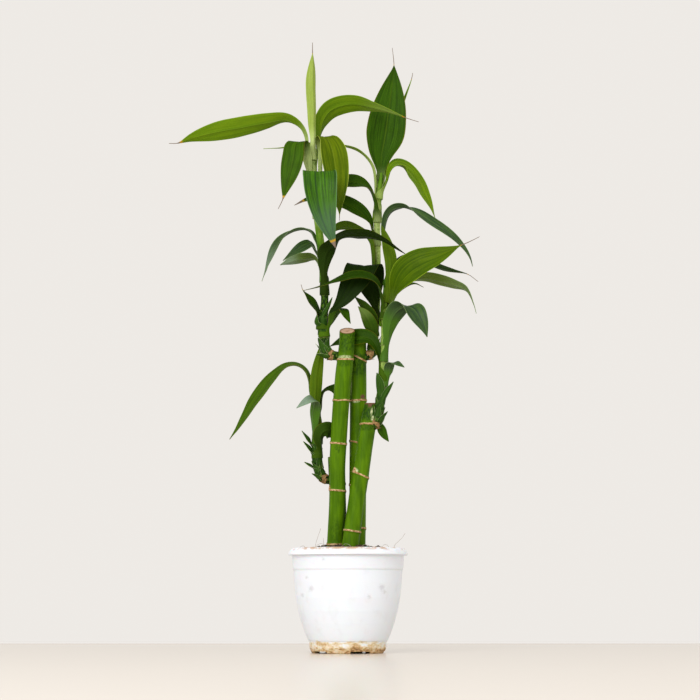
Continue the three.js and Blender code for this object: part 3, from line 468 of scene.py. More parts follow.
@dataclass(frozen=True)
class PotFinish(Finish):
    """Injection-moulded polypropylene: smooth satin white, soft edges, hard-water stains.

    Attributes:
        white: colour of the plastic.
        scuff: colour of its scuffs.
        damp: colour where water has stood.
        stain: colour of the mineral crust.
        dark_stain: colour of the thickest crust.
        lip: colour of the worn lip.
        speck: colour of the specks of soil.
        specks: place across, height and size of each speck on the front.
        arch: middle, height and half sizes of the stain that arches over the foot.
    """

    white: str = "#edf2fb"
    scuff: str = "#d9dbdc"
    damp: str = "#dfc27c"
    stain: str = "#b5842c"
    dark_stain: str = "#6d4217"
    lip: str = "#b98d5c"
    speck: str = "#908c84"
    specks: tuple[Point, ...] = (
        (-22, 84, 1.5), (-37, 68, 1.2), (-33, 58, 2.2), (-41, 52, 1.6), (19, 51, 1.8),
        (30, 59, 2.6), (-44, 27, 1.2), (33, 55, 1.4),
    )
    arch: Point = (-6, 9, 7.5, 6.5)

    def shade(self, on: Surface) -> None:
        """Lays out brown mineral stains on the foot and lip, scuffs and specks of soil.

        Args:
            on: what it is laid out on.
        """
        x, y, z = (on.add("ShaderNodeSeparateXYZ", {"Vector": on.body}, axis) for axis in "XYZ")
        front, low = y.ease(0.0, -10 * MM), z.ease(17 * MM, 14 * MM)
        scuffs = on.grain((9, 9, 14), 4.0)
        blotch = on.grain((13, 13, 6.5), 5.0, 0.62)
        fine = on.grain((2.4, 2.4, 1.6), 4.0, 0.6)
        color = on.blend(self.white, self.scuff, scuffs.ease(0.5, 0.8) * 0.3)
        middle, height, half_width, half_height = (size * MM for size in self.arch)
        beside = (x - middle).math("DIVIDE", half_width).math("POWER", 2.0)
        above = (z - height).math("DIVIDE", half_height).math("POWER", 2.0)
        off = ((beside + above).math("SQRT") - 1.0).math("ABSOLUTE")
        arch = off.ease(0.4, 0.0) * front * z.ease(12.5 * MM, 13.5 * MM)
        foot = z.ease(13.5 * MM, 9 * MM) * 0.3 + z.ease(7 * MM, 0.5 * MM) * 0.16 + arch * 0.16
        reach = foot + blotch
        color = color.lay(self.damp, reach.ease(0.62, 0.86) * low * 0.7)
        crust = (reach + fine * 0.5).ease(1.02, 1.2) * low
        color = color.lay(self.stain, crust * 0.68)
        grime = (reach + fine * 0.8).ease(1.32, 1.46) * low
        color = color.lay(self.dark_stain, grime * 0.7)
        worn = z.ease(91.5 * MM, 94.4 * MM) * blotch.ease(0.43, 0.57)
        color = color.lay(self.lip, worn * 0.85)
        near = on.add("ShaderNodeCombineXYZ", {"X": x, "Z": z})
        for across, high, size in self.specks:
            values = {"operation": "DISTANCE", 0: near, 1: (across * MM, 0, high * MM)}
            away = on.add("ShaderNodeVectorMath", values, "Value")
            ragged = away + (fine - 0.5) * (5 * MM)
            color = color.lay(self.speck, ragged.ease(1.7 * size * MM, 0) * front * 0.27)
        rough = self.rough(crust.math("MAXIMUM", scuffs.ease(0.5, 0.9)), 0.62)
        gloss = {"IOR": 1.49, "Subsurface Weight": 0.15, "Subsurface Scale": 3 * MM}
        on.dress(color, rough, crust * fine + fine, 0.05, gloss)


@dataclass(frozen=True)
class SoilFinish(Finish):
    """Peat and bark potting mix: nearly black, with brown fibres and paler bits.

    Attributes:
        dark: colour of the peat.
        brown: colour of its fibres.
        wet: colour of its damp patches.
        bit: colour of the paler bits.
    """

    dark: str = "#1d150f"
    brown: str = "#4a3524"
    wet: str = "#0e0a07"
    bit: str = "#8a6f4d"

    def shade(self, on: Surface) -> None:
        """Lays out crumbs of several browns with a rough, broken surface.

        Args:
            on: what it is laid out on.
        """
        crumb = on.grain((2.6, 2.6, 2.6), 5.0, 0.65)
        color = on.blend(self.dark, self.brown, crumb.ease(0.42, 0.68))
        color = color.lay(self.wet, on.grain((9, 9, 9), 2.0).ease(0.5, 0.8) * 0.5)
        color = color.lay(self.bit, crumb.ease(0.72, 0.78))
        on.dress(color, self.roughness, crumb, 0.7)


@dataclass(frozen=True)
class PlainFinish(Finish):
    """Laminate of the studio's table: one pale colour, satin.

    Attributes:
        color: of the laminate.
    """

    color: str

    def shade(self, on: Surface) -> None:
        """Sets the colour and the roughness."""
        fill(on.tree, on.shader, {"Base Color": self.color, "Roughness": self.roughness})


class Tone(Enum):
    """The finishes that the leaves come in."""

    # Old leaf under thick wax: deep green, calm stripes
    DARK = LeafFinish(
        "leaf_dark_waxy",
        0.42,
        upper="#2a4a04",
        vein="#42680a",
        under="#4c6a1e",
        outer="#2c4e05",
        stripes=0.5,
    )
    # Grown leaf in full light: fresh green with yellow-green stripes
    BRIGHT = LeafFinish(
        "leaf_bright_waxy",
        0.42,
        upper="#4c7003",
        vein="#72900a",
        under="#65841a",
        outer="#587a03",
        deep="#2f4f06",
        base="#6a8a1a",
        edge="#8aa62a",
    )
    # Yellowing leaf: thin, so that light comes through
    YOUNG = LeafFinish(
        "leaf_young_translucent",
        0.42,
        upper="#506404",
        vein="#667a0a",
        under="#5f7018",
        outer="#355604",
        deep="#364a05",
        base="#8fa63a",
        edge="#a6b64a",
    )
    # Spear that is still rolled up: pale, hardly waxed
    PALE = LeafFinish(
        "leaf_spear_rolled",
        0.45,
        upper="#859c3a",
        vein="#a2b35c",
        under="#93a850",
        outer="#849a34",
        deep="#738c30",
        base="#a0b266",
        edge="#a9b972",
    )
    # Leaf that hangs to the front: the wax catches the light, strong stripes
    WAXED = LeafFinish(
        "leaf_skin_waxed",
        0.36,
        upper="#254803",
        vein="#437406",
        under="#345418",
        outer="#2a4e08",
        deep="#1a3420",
        base="#457010",
        edge="#5f8058",
        faded="#4c6458",
        shine=0.12,
        stripes=1.0,
    )
    # Leaf with a bloom: grey sheen over dark green
    GREY = LeafFinish(
        "leaf_grey_sheen",
        0.3,
        upper="#1d3a07",
        vein="#48662c",
        under="#425638",
        outer="#304a30",
        deep="#0f2407",
        base="#457010",
        edge="#7d9860",
        faded="#869c88",
        shine=0.16,
        stripes=0.85,
    )
    # Short scale leaf: tough, with a pale margin
    SCALE = LeafFinish(
        "scale_leaf_green",
        0.5,
        upper="#20420a",
        vein="#466a20",
        under="#335616",
        outer="#294c0e",
        deep="#10240a",
        base="#1a3808",
        edge="#9cae78",
        shine=0.08,
    )
    # Scale of the bud that the shoot came from: dead and matt like paper
    DRY = DryFinish("bud_scale_papery", 0.8)


@dataclass(frozen=True)
class CanePlan:
    """One cut cane in the front view.

    Attributes:
        axis: x, z, depth and radius of its stations.
        rings: height and slopes to the right and to the back of its node rings.
        cut: slopes of its cut top.
    """

    axis: tuple[Point, ...]
    rings: tuple[Point, ...]
    cut: Point


@dataclass(frozen=True)
class LeafPlan:
    """One leaf in the front view.

    Attributes:
        shoot: the shoot that it grows from.
        height: where its base shows.
        side: direction of its base: 0 right, 90 back, 180 left, 270 front.
        wide: its widest width.
        peak: where along the leaf that is.
        midrib: x, z, depth and twist of its stations.
        thread: stations of its dried, thread-like end.
        tone: its finish.
        rolled: whether it is still rolled up.
        heading: the way that it leans, where the stations don't tell.
        neck: width of its neck, where it isn't the usual one.
        slim: part of its length where it starts to widen, where that is late.
        free: whether it starts inside the shoot, without a clasping base.
        brown: part of its length that has dried at the tip, if that isn't below zero.
        tint: from -1, dark, to 1, pale.
        fade: how pale its outer third is.
        stalk: part of its length that is coloured like its base.
        light: from 0 to 1, how pale that part is.
    """

    shoot: str
    height: float
    side: float
    wide: float
    peak: float
    midrib: tuple[Point, ...]
    thread: tuple[Point, ...] = ()
    tone: Tone = Tone.DARK
    rolled: bool = False
    heading: float | None = None
    neck: float | None = None
    slim: float = 0.0
    free: bool = False
    brown: float = -0.06
    tint: float = 0.0
    fade: float = 0.0
    stalk: float = 0.16
    light: float = 0.0

    @property
    def slot(self) -> str:
        """The record's material slot that its finish belongs to."""
        slots = {Tone.BRIGHT: "leaf_bright", Tone.YOUNG: "leaf_young", Tone.PALE: "leaf_young"}
        return slots.get(self.tone, "leaf_dark")


@dataclass(frozen=True)
class Mark:
    """A darker, paler or dried patch on a cane's skin; the darker patch high on cane_b's front is
    painted shade.

    Attributes:
        kind: the value that the skin's finish reads.
        height: of its middle, in the front view.
        side: its direction: 0 right, 90 back, 180 left, 270 front.
        tall: half of its height.
        wide: half of its width.
        amount: how strong it is.
    """

    kind: str
    height: float
    side: float
    tall: float
    wide: float
    amount: float = 1.0


CANES: dict[str, CanePlan] = {
    "cane_a": CanePlan(
        axis=(
            (-15.4, 34, 0, 7.4), (-11.9, 98, -2, 7.4), (-9.6, 140, -3, 7.6),
            (-9.8, 168, -3.4, 7.3), (-8.3, 198, -4, 7.5), (-6.5, 226, -4.6, 7.6),
            (-3.9, 255, -5.2, 7.8), (-1, 284, -5.8, 7.2), (-0.7, 295, -6, 7.2),
        ),
        rings=(
            (57, 0.03, 0), (98.6, 0, 0.05), (147.3, -0.08, 0), (190.6, -0.09, 0.03),
            (230.2, -0.04, 0.03), (268, 0, 0.03),
        ),
        cut=(0.03, 0.5),
    ),
    "cane_b": CanePlan(
        axis=(
            (9.4, 34, 9.5, 7.6), (8.6, 100, 9.5, 7.4), (8.7, 116, 9.5, 7.6), (9, 160, 9.5, 7.8),
            (9.3, 215, 9.5, 7.7), (9.4, 245, 9.5, 7.7), (9.5, 283.4, 9.5, 7.4),
        ),
        rings=(
            (70, 0, 0), (112.8, 0, 0), (152.5, -0.02, 0), (190.5, -0.3, 0), (230, 0.03, 0),
            (269.5, -0.48, 0),
        ),
        cut=(0.1, 0.12),
    ),
    "cane_c": CanePlan(
        axis=(
            (-8, 34, -15, 7.3), (2, 97, -12.6, 7.6), (8.5, 142, -11, 7.6), (12.9, 170, -10, 7.1),
            (16.1, 192, -9.2, 7.3), (19.6, 215, -8.4, 7.3), (21.4, 228, -8, 5.7),
        ),
        rings=((62, 0.1, 0), (110.3, -0.15, 0), (161.6, -0.42, 0), (208.5, -0.02, 0)),
        cut=(0, 0.1),
    ),
    "cane_d": CanePlan(
        axis=(
            (-6, 34, 15, 7.4), (-8.2, 97, 14.6, 7.6), (-9.8, 150, 14.2, 7.6),
            (-11, 178.5, 14, 7.6),
        ),
        rings=((66, 0, 0), (110, 0.05, 0), (154.5, -0.1, 0)),
        cut=(0.05, 0.1),
    ),
}


# Axes of the side shoots: x, z, depth and radius of their stations, by letter
SHOOTS: dict[str, tuple[Point, ...]] = {
    "a": (
        (-7, 271.5, -5, 3.6), (-13.5, 271.8, -5.4, 4.4), (-18.6, 274, -5.6, 5.2),
        (-21.4, 279, -5.8, 4.6), (-22, 286, -6, 4.3), (-23.2, 296, -6.2, 4.9),
        (-22.6, 308, -6.5, 4.2), (-21.6, 322, -7, 3.5), (-22, 340, -7.5, 3.4), (-23, 356, -8, 3.5),
        (-25.2, 376, -9, 3.5), (-28.4, 399, -10, 3.3), (-31.4, 426, -11, 3.1),
        (-33, 450, -11.7, 2.9), (-33.5, 466, -12.2, 2.2), (-33.7, 478, -12.6, 1.2),
    ),
    "b": (
        (11, 271, 9.2, 3.2), (17.5, 271.5, 9.2, 4.2), (21.6, 274.5, 9.4, 4.6),
        (23.6, 281, 9.7, 3.9), (24.8, 292, 10, 3.5), (26.2, 315, 10, 3.4), (27, 340, 10, 3.3),
        (27, 365, 10, 3.3), (26.8, 388, 10.2, 3.2), (27.6, 408, 10.6, 2.9), (29.4, 428, 11.2, 2.8),
        (30.6, 438, 11.6, 1.6), (31, 443, 11.8, 1),
    ),
    "c": (
        (17.5, 206.5, -9.5, 3.6), (23.4, 207.5, -10.5, 4.8), (27, 212, -11.2, 4.6),
        (28.4, 220, -11.5, 4.2), (30, 231, -11.6, 4), (31.8, 246, -11.6, 3.8),
        (32.9, 262, -11.6, 3), (33.4, 282, -11.6, 2.9), (33.4, 302, -11.6, 2.8),
        (34.2, 318, -11.6, 2.7), (36.4, 332, -11.4, 2.2), (38, 344, -11.2, 1.2),
    ),
    "d": (
        (-13, 157, 14, 3.4), (-19.5, 157.5, 13.8, 4.2), (-24.5, 161.5, 13.4, 4.6),
        (-27.4, 170, 13, 4.3), (-28.6, 182, 12.8, 4.2), (-28.2, 196, 12.6, 3.6),
        (-28.4, 210, 12.4, 3), (-29.6, 224, 12.2, 2.8), (-29.6, 236, 12, 1.3),
    ),
}


LEAVES: dict[str, LeafPlan] = {
    "leaf_a_long_left": LeafPlan(
        shoot="a", tone=Tone.BRIGHT, height=443, side=175, wide=20.5, peak=0.66, tint=0.1,
        brown=0.03, light=0.7, stalk=0.2,
        midrib=(
            (-38, 468, -14, 0), (-40.5, 480, -15, -6), (-46, 488, -16, -13), (-58, 494, -18, -26),
            (-76, 491, -21, -44), (-100, 486.2, -25, -56), (-125, 481.5, -29, -60),
            (-146, 476.2, -31, -52), (-159, 471.2, -32, -40),
        ),
        thread=((-167, 471, -33, -30),),
    ),
    "leaf_a_arch_right": LeafPlan(
        shoot="a", tone=Tone.BRIGHT, height=437, side=40, wide=20.5, peak=0.42, tint=-0.1,
        brown=0.03, fade=0.35, light=0.5, stalk=0.14,
        midrib=(
            (-28.6, 462, -8, 0), (-27, 478, -6, -20), (-24, 492.5, -5, -42), (-17, 502, -4, -56),
            (-6, 507, -3, -58), (7, 508.4, -2, -50), (22, 505.6, -1, -32), (38, 501.4, 0, -18),
            (54.5, 495.2, 1, -10),
        ),
        thread=((66, 491.5, 2, 0),),
    ),
    "leaf_a_hang_left": LeafPlan(
        shoot="a", height=424, side=205, wide=20.5, peak=0.62, heading=235, tint=0.05, brown=0.06,
        light=0.9, stalk=0.3,
        midrib=(
            (-37.2, 447, -16.5, 0), (-40.5, 462, -19, 0), (-44.6, 472.5, -23, 10),
            (-49, 470.5, -28, 20), (-51, 458, -31, 25), (-54.2, 443, -32, 25), (-58, 428, -33, 20),
            (-60.8, 418, -34, 10),
        ),
        thread=((-65, 409, -33, 0),),
    ),
    "leaf_a_front_hang": LeafPlan(
        shoot="a", height=400, side=270, wide=31, peak=0.46, heading=270, tone=Tone.WAXED,
        brown=0.03, fade=0.45, light=0.5,
        midrib=(
            (-30.8, 420, -20, 0), (-29.6, 434, -29, 0), (-28, 443.6, -38, 0),
            (-26.6, 443.6, -46, 0), (-25.4, 427, -51, 0), (-22, 405, -52, 0), (-17.2, 388, -52, 0),
            (-11.6, 372.5, -51, 0),
        ),
    ),
    "leaf_a_yellow_right": LeafPlan(
        shoot="a", tone=Tone.YOUNG, height=424, side=335, wide=26, peak=0.58, heading=300,
        neck=4.8, slim=0.28, light=0.8, stalk=0.3,
        midrib=(
            (-26, 441, -12, 0), (-25.6, 455, -12, 0), (-25.4, 467, -12, 0),
            (-24.8, 475.2, -14.2, 0), (-21.8, 477.6, -17.6, 0), (-17.4, 472.6, -20.4, 8),
            (-14, 463, -21.8, 14), (-11.6, 450, -22, 16), (-10, 435, -21.4, 14),
            (-8.8, 419, -21, 8), (-7.8, 404, -21.4, 0),
        ),
        thread=((-8, 398, -22.6, 0),),
    ),
    # Its near-black tint is painted shade as well as its own deep green
    "leaf_a_dark_arch": LeafPlan(
        shoot="a", height=328, side=270, wide=24, peak=0.52, heading=0, tint=-0.8,
        midrib=(
            (-22.3, 347, -14, -84), (-22, 358, -16, -84), (-20, 367, -18.5, -72),
            (-16.6, 373, -22, -32), (-11.4, 378.6, -26, -2), (-4, 383.2, -29, -12),
            (8, 384.2, -32, -13), (22, 383.4, -33, -12), (33.5, 379, -32, -8),
            (44, 372.4, -29, -4), (54, 366.2, -24, 0),
        ),
    ),
    "leaf_a_light_left": LeafPlan(
        shoot="a", height=340, side=130, wide=13, peak=0.62, tone=Tone.GREY, tint=0.6, fade=0.6,
        midrib=(
            (-27.8, 359, -1.5, -10), (-32, 363, -1, -30), (-40, 362.6, 0, -38),
            (-49, 361.2, 3, -42), (-57, 358.4, 6, -36), (-63, 356.4, 8, -20),
        ),
    ),
    "leaf_a_dark_left": LeafPlan(
        shoot="a", height=356, side=216, wide=12, peak=0.42, tone=Tone.GREY, tint=-0.3,
        midrib=(
            (-31, 371, -13, 30), (-34.6, 376.4, -15, 55), (-40, 374.6, -17, 62),
            (-47, 370.4, -19, 58), (-54, 365.4, -21, 40), (-60.5, 360.4, -22, 20),
        ),
    ),
    "leaf_a_narrow_left": LeafPlan(
        shoot="a", height=364, side=110, wide=12, peak=0.64, tone=Tone.GREY, tint=0.05, fade=0.35,
        midrib=(
            (-30.6, 380.5, -3.5, 8), (-34, 387.2, -3, 4), (-40, 390, -1, 0), (-48, 389.2, 1, 4),
            (-56, 385.8, 4, 28), (-63, 380, 7, 50), (-68.6, 371.6, 10, 58), (-73, 361, 12, 54),
            (-76.8, 350, 14, 30), (-80, 341, 15, 20),
        ),
    ),
    "leaf_a_low_left": LeafPlan(
        shoot="a", height=296, side=160, wide=11.5, peak=0.5, tint=-0.4,
        midrib=(
            (-28, 311.4, -7, 40), (-31.6, 319.4, -9, 70), (-37, 326.8, -11, 74),
            (-41.6, 333, -12, 50),
        ),
        thread=((-43.2, 338, -13, 0),),
    ),
    "leaf_a_low_right": LeafPlan(
        shoot="a", height=289, side=350, wide=14, peak=0.55, heading=306,
        midrib=(
            (-15.2, 303.6, -7, 0), (-12.4, 311, -7.4, 0), (-8.8, 315.8, -8.6, 0),
            (-5.4, 316, -11.4, 0), (-3, 311.6, -13.4, 0), (-0.6, 307, -14, 0),
            (2.4, 301.6, -14, 0),
        ),
    ),
    "leaf_a_spear": LeafPlan(
        shoot="a", height=455, side=286, wide=13, peak=0.68, rolled=True, heading=300,
        tone=Tone.PALE, light=1.0, stalk=0.2,
        midrib=(
            (-32.2, 472, -18.4, 0), (-32.8, 489, -20, 0), (-32.8, 507, -20, 0),
            (-33.3, 525, -20, 0), (-33.4, 541, -20, 0), (-33.4, 556, -20, 0),
        ),
        thread=((-33.4, 567, -19.6, 0),),
    ),
    "leaf_b_big_top": LeafPlan(
        shoot="b", height=428, side=85, wide=37, peak=0.47, heading=90, neck=8, tint=-0.1,
        light=0.45, stalk=0.08,
        midrib=(
            (30.6, 448, 17.5, 0), (31.4, 461, 20, 0), (34.4, 477, 22.5, 0), (37, 495, 24.5, 0),
            (39.6, 513, 26, 0), (42, 532, 27, 0), (43, 545, 27.5, 0),
        ),
        thread=((41.5, 562, 28, 0),),
    ),
    "leaf_b_narrow_back": LeafPlan(
        shoot="b", tone=Tone.BRIGHT, height=398, side=85, wide=8, peak=0.5,
        midrib=(
            (31.2, 428, 22, 0), (36.4, 452, 33, 0), (44.6, 487, 38, 0), (50.8, 508, 40, 0),
            (59.2, 532, 42, 0),
        ),
        thread=((60.4, 538, 42, 0),),
    ),
    "leaf_b_right": LeafPlan(
        shoot="b", tone=Tone.BRIGHT, height=418, side=350, wide=22, peak=0.52, slim=0.2, tint=0.1,
        light=0.4, stalk=0.1,
        midrib=(
            (36.2, 436, 7.6, 0), (39, 445, 8.2, 6), (43.8, 450, 12, 16), (50.4, 449.4, 19.6, 46),
            (58, 443.6, 24.6, 56), (65, 434.6, 27, 58), (71.4, 422.6, 28, 58), (77, 411, 29, 52),
            (81, 400.5, 30, 40),
        ),
    ),
    "leaf_b_thin_left": LeafPlan(
        shoot="b", tone=Tone.BRIGHT, height=408, side=155, wide=13, peak=0.5, tint=0.8, light=0.6,
        stalk=0.3,
        midrib=(
            (25.4, 436, 9.8, 4), (23, 449, 9.4, 8), (16.6, 458.6, 10, 11), (8, 465, 11, 12),
            (-5, 469, 11, 13), (-25, 471.4, 10, 13), (-45, 470, 9, 13), (-62, 467, 8, 13),
            (-79, 466, 7, 12),
        ),
    ),
    "leaf_b_dark_left": LeafPlan(
        shoot="b", height=396, side=250, wide=17.5, peak=0.55, tint=-0.2, light=0.7, stalk=0.07,
        midrib=(
            (24.6, 417, 4, 0), (20.8, 427, 3.4, 20), (14, 432.6, 2, 45), (5, 435, 1, 58),
            (-5, 434, 0, 58), (-14, 429.4, 0, 50), (-22, 424, 0, 45),
        ),
    ),
    "leaf_b_low_left": LeafPlan(
        shoot="b", height=374, side=205, wide=16.5, peak=0.42, tint=-0.2, brown=0.07, light=0.6,
        stalk=0.07,
        midrib=(
            (21.6, 394, 4.5, 20), (16.6, 401.4, 4, 48), (8, 409, 5, 62), (-2, 414.6, 6, 62),
            (-14, 418, 8, 60), (-27, 419.4, 9, 55), (-38, 418, 10, 50), (-50, 412.6, 11, 30),
        ),
    ),
    "leaf_b_arch_left": LeafPlan(
        shoot="b", height=334, side=190, wide=13, peak=0.68, tint=0.35, light=0.5,
        midrib=(
            (23.2, 357, 5.2, 0), (22.6, 368, 3.5, 0), (20.6, 378.5, 2, -4), (15, 386, 1.5, -8),
            (8, 390, 1, -14), (0, 393, 0, -30), (-8, 392.6, -1, -50), (-14.4, 388.6, -1.5, -50),
            (-19, 383.5, -2, -40),
        ),
    ),
    # Its near-black tint is painted shade as well as its own deep green
    "leaf_b_folded": LeafPlan(
        shoot="b", height=301, side=275, wide=30.6, peak=0.43, heading=270, tint=-0.9,
        midrib=(
            (24.6, 319, 3.4, 0), (22, 333, 2.4, 0), (19.4, 345, 0, 0), (17.2, 353, -3.4, 0),
            (15, 356.2, -8.4, 0), (11.6, 352, -12.8, 0), (7, 343.6, -15.4, 0),
            (0.8, 333, -16.8, 0), (-6, 322.6, -17.4, 0), (-17.2, 311.2, -17.6, 0),
        ),
    ),
    "leaf_b_erect_back": LeafPlan(
        shoot="b", height=290, side=205, wide=13, peak=0.45, heading=240, tint=-0.4,
        midrib=((21.6, 307, -1, 0), (15.4, 317.4, -4.4, 0), (6.2, 326.8, -6.4, 0)),
    ),
    "leaf_b_erect_front": LeafPlan(
        shoot="b", height=277, side=235, wide=14, peak=0.55, heading=250, tint=-0.2, fade=0.25,
        midrib=((22.4, 293, 0, 0), (20, 302, -5, 0), (15.6, 310.4, -8.6, 0), (9.4, 317.6, -9.6, 0)),
    ),
    "leaf_c_erect": LeafPlan(
        shoot="c", tone=Tone.BRIGHT, height=321, side=270, wide=11.5, peak=0.58, heading=270,
        tint=-0.45,
        midrib=(
            (38.4, 341, -16.5, 0), (39.6, 352, -17, 0), (39.6, 361, -17, 0), (37.4, 372, -16.5, 0),
            (34.4, 383, -16, 0), (31, 393.6, -15, 0),
        ),
    ),
    "leaf_c_big_right": LeafPlan(
        shoot="c", tone=Tone.BRIGHT, height=305, side=335, wide=28, peak=0.5, tint=-0.5, light=0.15,
        midrib=(
            (41.4, 324, -19, 40), (44.6, 335, -24, 65), (50, 345.4, -29, 76), (58, 353.6, -33, 80),
            (68, 359.4, -36, 80), (80, 364, -38, 78), (91, 368.4, -39, 74), (104, 374.6, -40, 60),
        ),
        thread=((112, 378, -40, 50), (122, 383, -40, 40),),
    ),
    "leaf_c_long_arch": LeafPlan(
        shoot="c", height=326, side=120, wide=11, peak=0.66, tone=Tone.GREY, tint=-0.05,
        midrib=(
            (37.2, 352, -5, 0), (34.2, 374, -5, -20), (33.4, 391, -4, -40), (36.4, 403.4, -3, -50),
            (42, 409.4, -2, -44), (50, 411, -1, -30), (57, 409.6, 0, 20), (67, 404.4, 1, 60),
            (79, 396.4, 2, 66), (91, 388.4, 3, 62), (101, 380, 4, 58), (109, 370.6, 5, 55),
            (113.4, 362.6, 6, 50), (115.6, 355, 6, 40),
        ),
    ),
    "leaf_c_dark_right": LeafPlan(
        shoot="c", height=312, side=75, wide=17, peak=0.6, tint=-0.75,
        midrib=(
            (39.6, 335, -5, 0), (42.6, 351, -3, 8), (49, 361, -1, 20), (60, 362.6, 1, 30),
            (73, 358.4, 3, 34), (86, 353.6, 5, 36), (98, 350.6, 7, 34), (111, 347.8, 8, 20),
        ),
        thread=((120.6, 340.8, 9, 10),),
    ),
    "leaf_c_grey_right": LeafPlan(
        shoot="c", height=282, side=25, wide=14.5, peak=0.6, tone=Tone.GREY, tint=0.9, fade=0.2,
        midrib=(
            (38, 310, -5.5, 0), (43, 326, -6, 0), (51, 337.4, -7, -8), (61, 343, -8, -22),
            (73, 344.2, -9, -30), (86, 341.6, -10, -36), (98, 338, -11, -36),
            (108, 334.6, -12, -28), (113.4, 327.6, -12, 0), (116.6, 319, -12, 10),
            (118.8, 311, -12, 10),
        ),
    ),
    "leaf_c_small_right": LeafPlan(
        shoot="c", height=299, side=100, wide=7, peak=0.55,
        midrib=(
            (36.3, 315, 0, 0), (43, 328, 9, 20), (53, 336.6, 11, 35), (62, 339, 11, 35),
            (70, 335.6, 10, 20),
        ),
    ),
    "leaf_c_hang_right": LeafPlan(
        shoot="c", height=266, side=315, wide=20, peak=0.62, tone=Tone.GREY, tint=-0.1, stalk=0.42,
        midrib=(
            (36.8, 286, -17, -20), (38, 297, -19, -46), (41.4, 308, -22, -58),
            (47.6, 315.6, -26, -44), (54.6, 318.4, -30, 5), (61.4, 314.4, -33, 50),
            (66.6, 306, -35, 56), (70.6, 297, -36, 54), (73.2, 289, -36, 40),
        ),
    ),
    "leaf_c_thin_left": LeafPlan(
        shoot="c", height=306, side=225, wide=11.5, peak=0.42, tint=-0.5,
        midrib=(
            (31, 326, -19, 0), (28.6, 336.6, -23, 20), (23, 343.6, -25, 42), (14, 347, -26, 50),
            (4, 346.8, -26, 50), (-6, 343.6, -26, 40), (-16, 340, -25, 25), (-28, 335.8, -24, 15),
            (-41, 332.6, -23, 10),
        ),
    ),
    "leaf_c_over_cane": LeafPlan(
        shoot="c", height=248, side=205, wide=15.5, peak=0.68, slim=0.3, tint=-0.25,
        midrib=(
            (29.4, 266, -8.4, 20), (28.2, 273.6, -8, 40), (25.6, 281.6, -7, 58),
            (21, 287.4, -5.4, 70), (14.6, 289.4, -3, 76), (9, 289.2, -1, 80),
            (4.3, 288.6, 2.2, 80), (-1, 287, 5.8, 78), (-8, 284.4, 7.6, 60), (-16.5, 280.6, 7, 45),
        ),
    ),
    "leaf_c_small_grey": LeafPlan(
        shoot="c", height=243, side=335, wide=10.5, peak=0.5, neck=6.5, tone=Tone.GREY, tint=0.05,
        stalk=0.4,
        midrib=(
            (37.6, 256, -16, -40), (38.4, 262.6, -18, -30), (41.4, 265.6, -21, 0),
            (46, 264.4, -24, 40), (49.8, 262.4, -25, 48), (52, 261, -25.5, 48),
        ),
    ),
    "leaf_d_erect": LeafPlan(
        shoot="d", tone=Tone.BRIGHT, height=206, side=270, wide=11.5, peak=0.5, heading=270,
        tint=-0.45,
        midrib=(
            (-30, 228, 7, 0), (-29.6, 241, 6, 0), (-28.8, 254, 5.5, 0), (-27, 266, 5.5, 0),
            (-24.8, 277, 6, 0), (-22.4, 288, 6.5, 0),
        ),
    ),
    "leaf_d_long_left": LeafPlan(
        shoot="d", height=217, side=165, wide=15.5, peak=0.62, tint=0.2,
        midrib=(
            (-34.8, 239, 14.5, 0), (-35.8, 249, 15.5, 0), (-38.8, 257, 17, 4),
            (-43.6, 261.6, 18, 6), (-50.4, 263.4, 20, 20), (-58.4, 261, 22, 40),
            (-68.4, 252.4, 25, 54), (-78.4, 241, 28, 58), (-87.4, 228.4, 30, 58),
            (-95, 215.6, 32, 56), (-102, 204.2, 34, 50), (-109, 194.4, 35, 40),
        ),
    ),
    "leaf_d_small_grey": LeafPlan(
        shoot="d", height=190, side=243, wide=12.5, peak=0.5, heading=225, neck=7.5,
        tone=Tone.GREY, tint=0.1, fade=0.8, stalk=0.52,
        midrib=(
            (-31.2, 207, 7.4, 0), (-31.4, 217, 5, 0), (-30, 226, 0.6, 0), (-30.6, 231.6, -4, 26),
            (-35.6, 231.2, -8, 50), (-42, 227.4, -10.4, 58), (-47.4, 223.2, -11.4, 50),
        ),
    ),
    "leaf_d_right_high": LeafPlan(
        shoot="d", height=211, side=20, wide=15, peak=0.8, slim=0.56, tint=-0.4,
        midrib=(
            (-25, 224, 16, 0), (-24.6, 232, 16.4, 0), (-22.6, 238.4, 17, 0),
            (-18.8, 240.4, 18, 20), (-13, 239.6, 20, 70), (-7, 237, 23, 78), (-1, 233, 26, 74),
        ),
    ),
    "leaf_d_right_low": LeafPlan(
        shoot="d", height=177, side=315, wide=16, peak=0.55, neck=7, tint=-0.4,
        midrib=(
            (-25.6, 190.6, 6.2, -50), (-26, 196.4, 3, -74), (-23.8, 200.8, 1.4, -80),
            (-19.6, 202.8, 2.4, -80), (-15.6, 202.4, 6, -78), (-10, 199, 11, -74),
            (-5, 194, 15, -60),
        ),
    ),
}


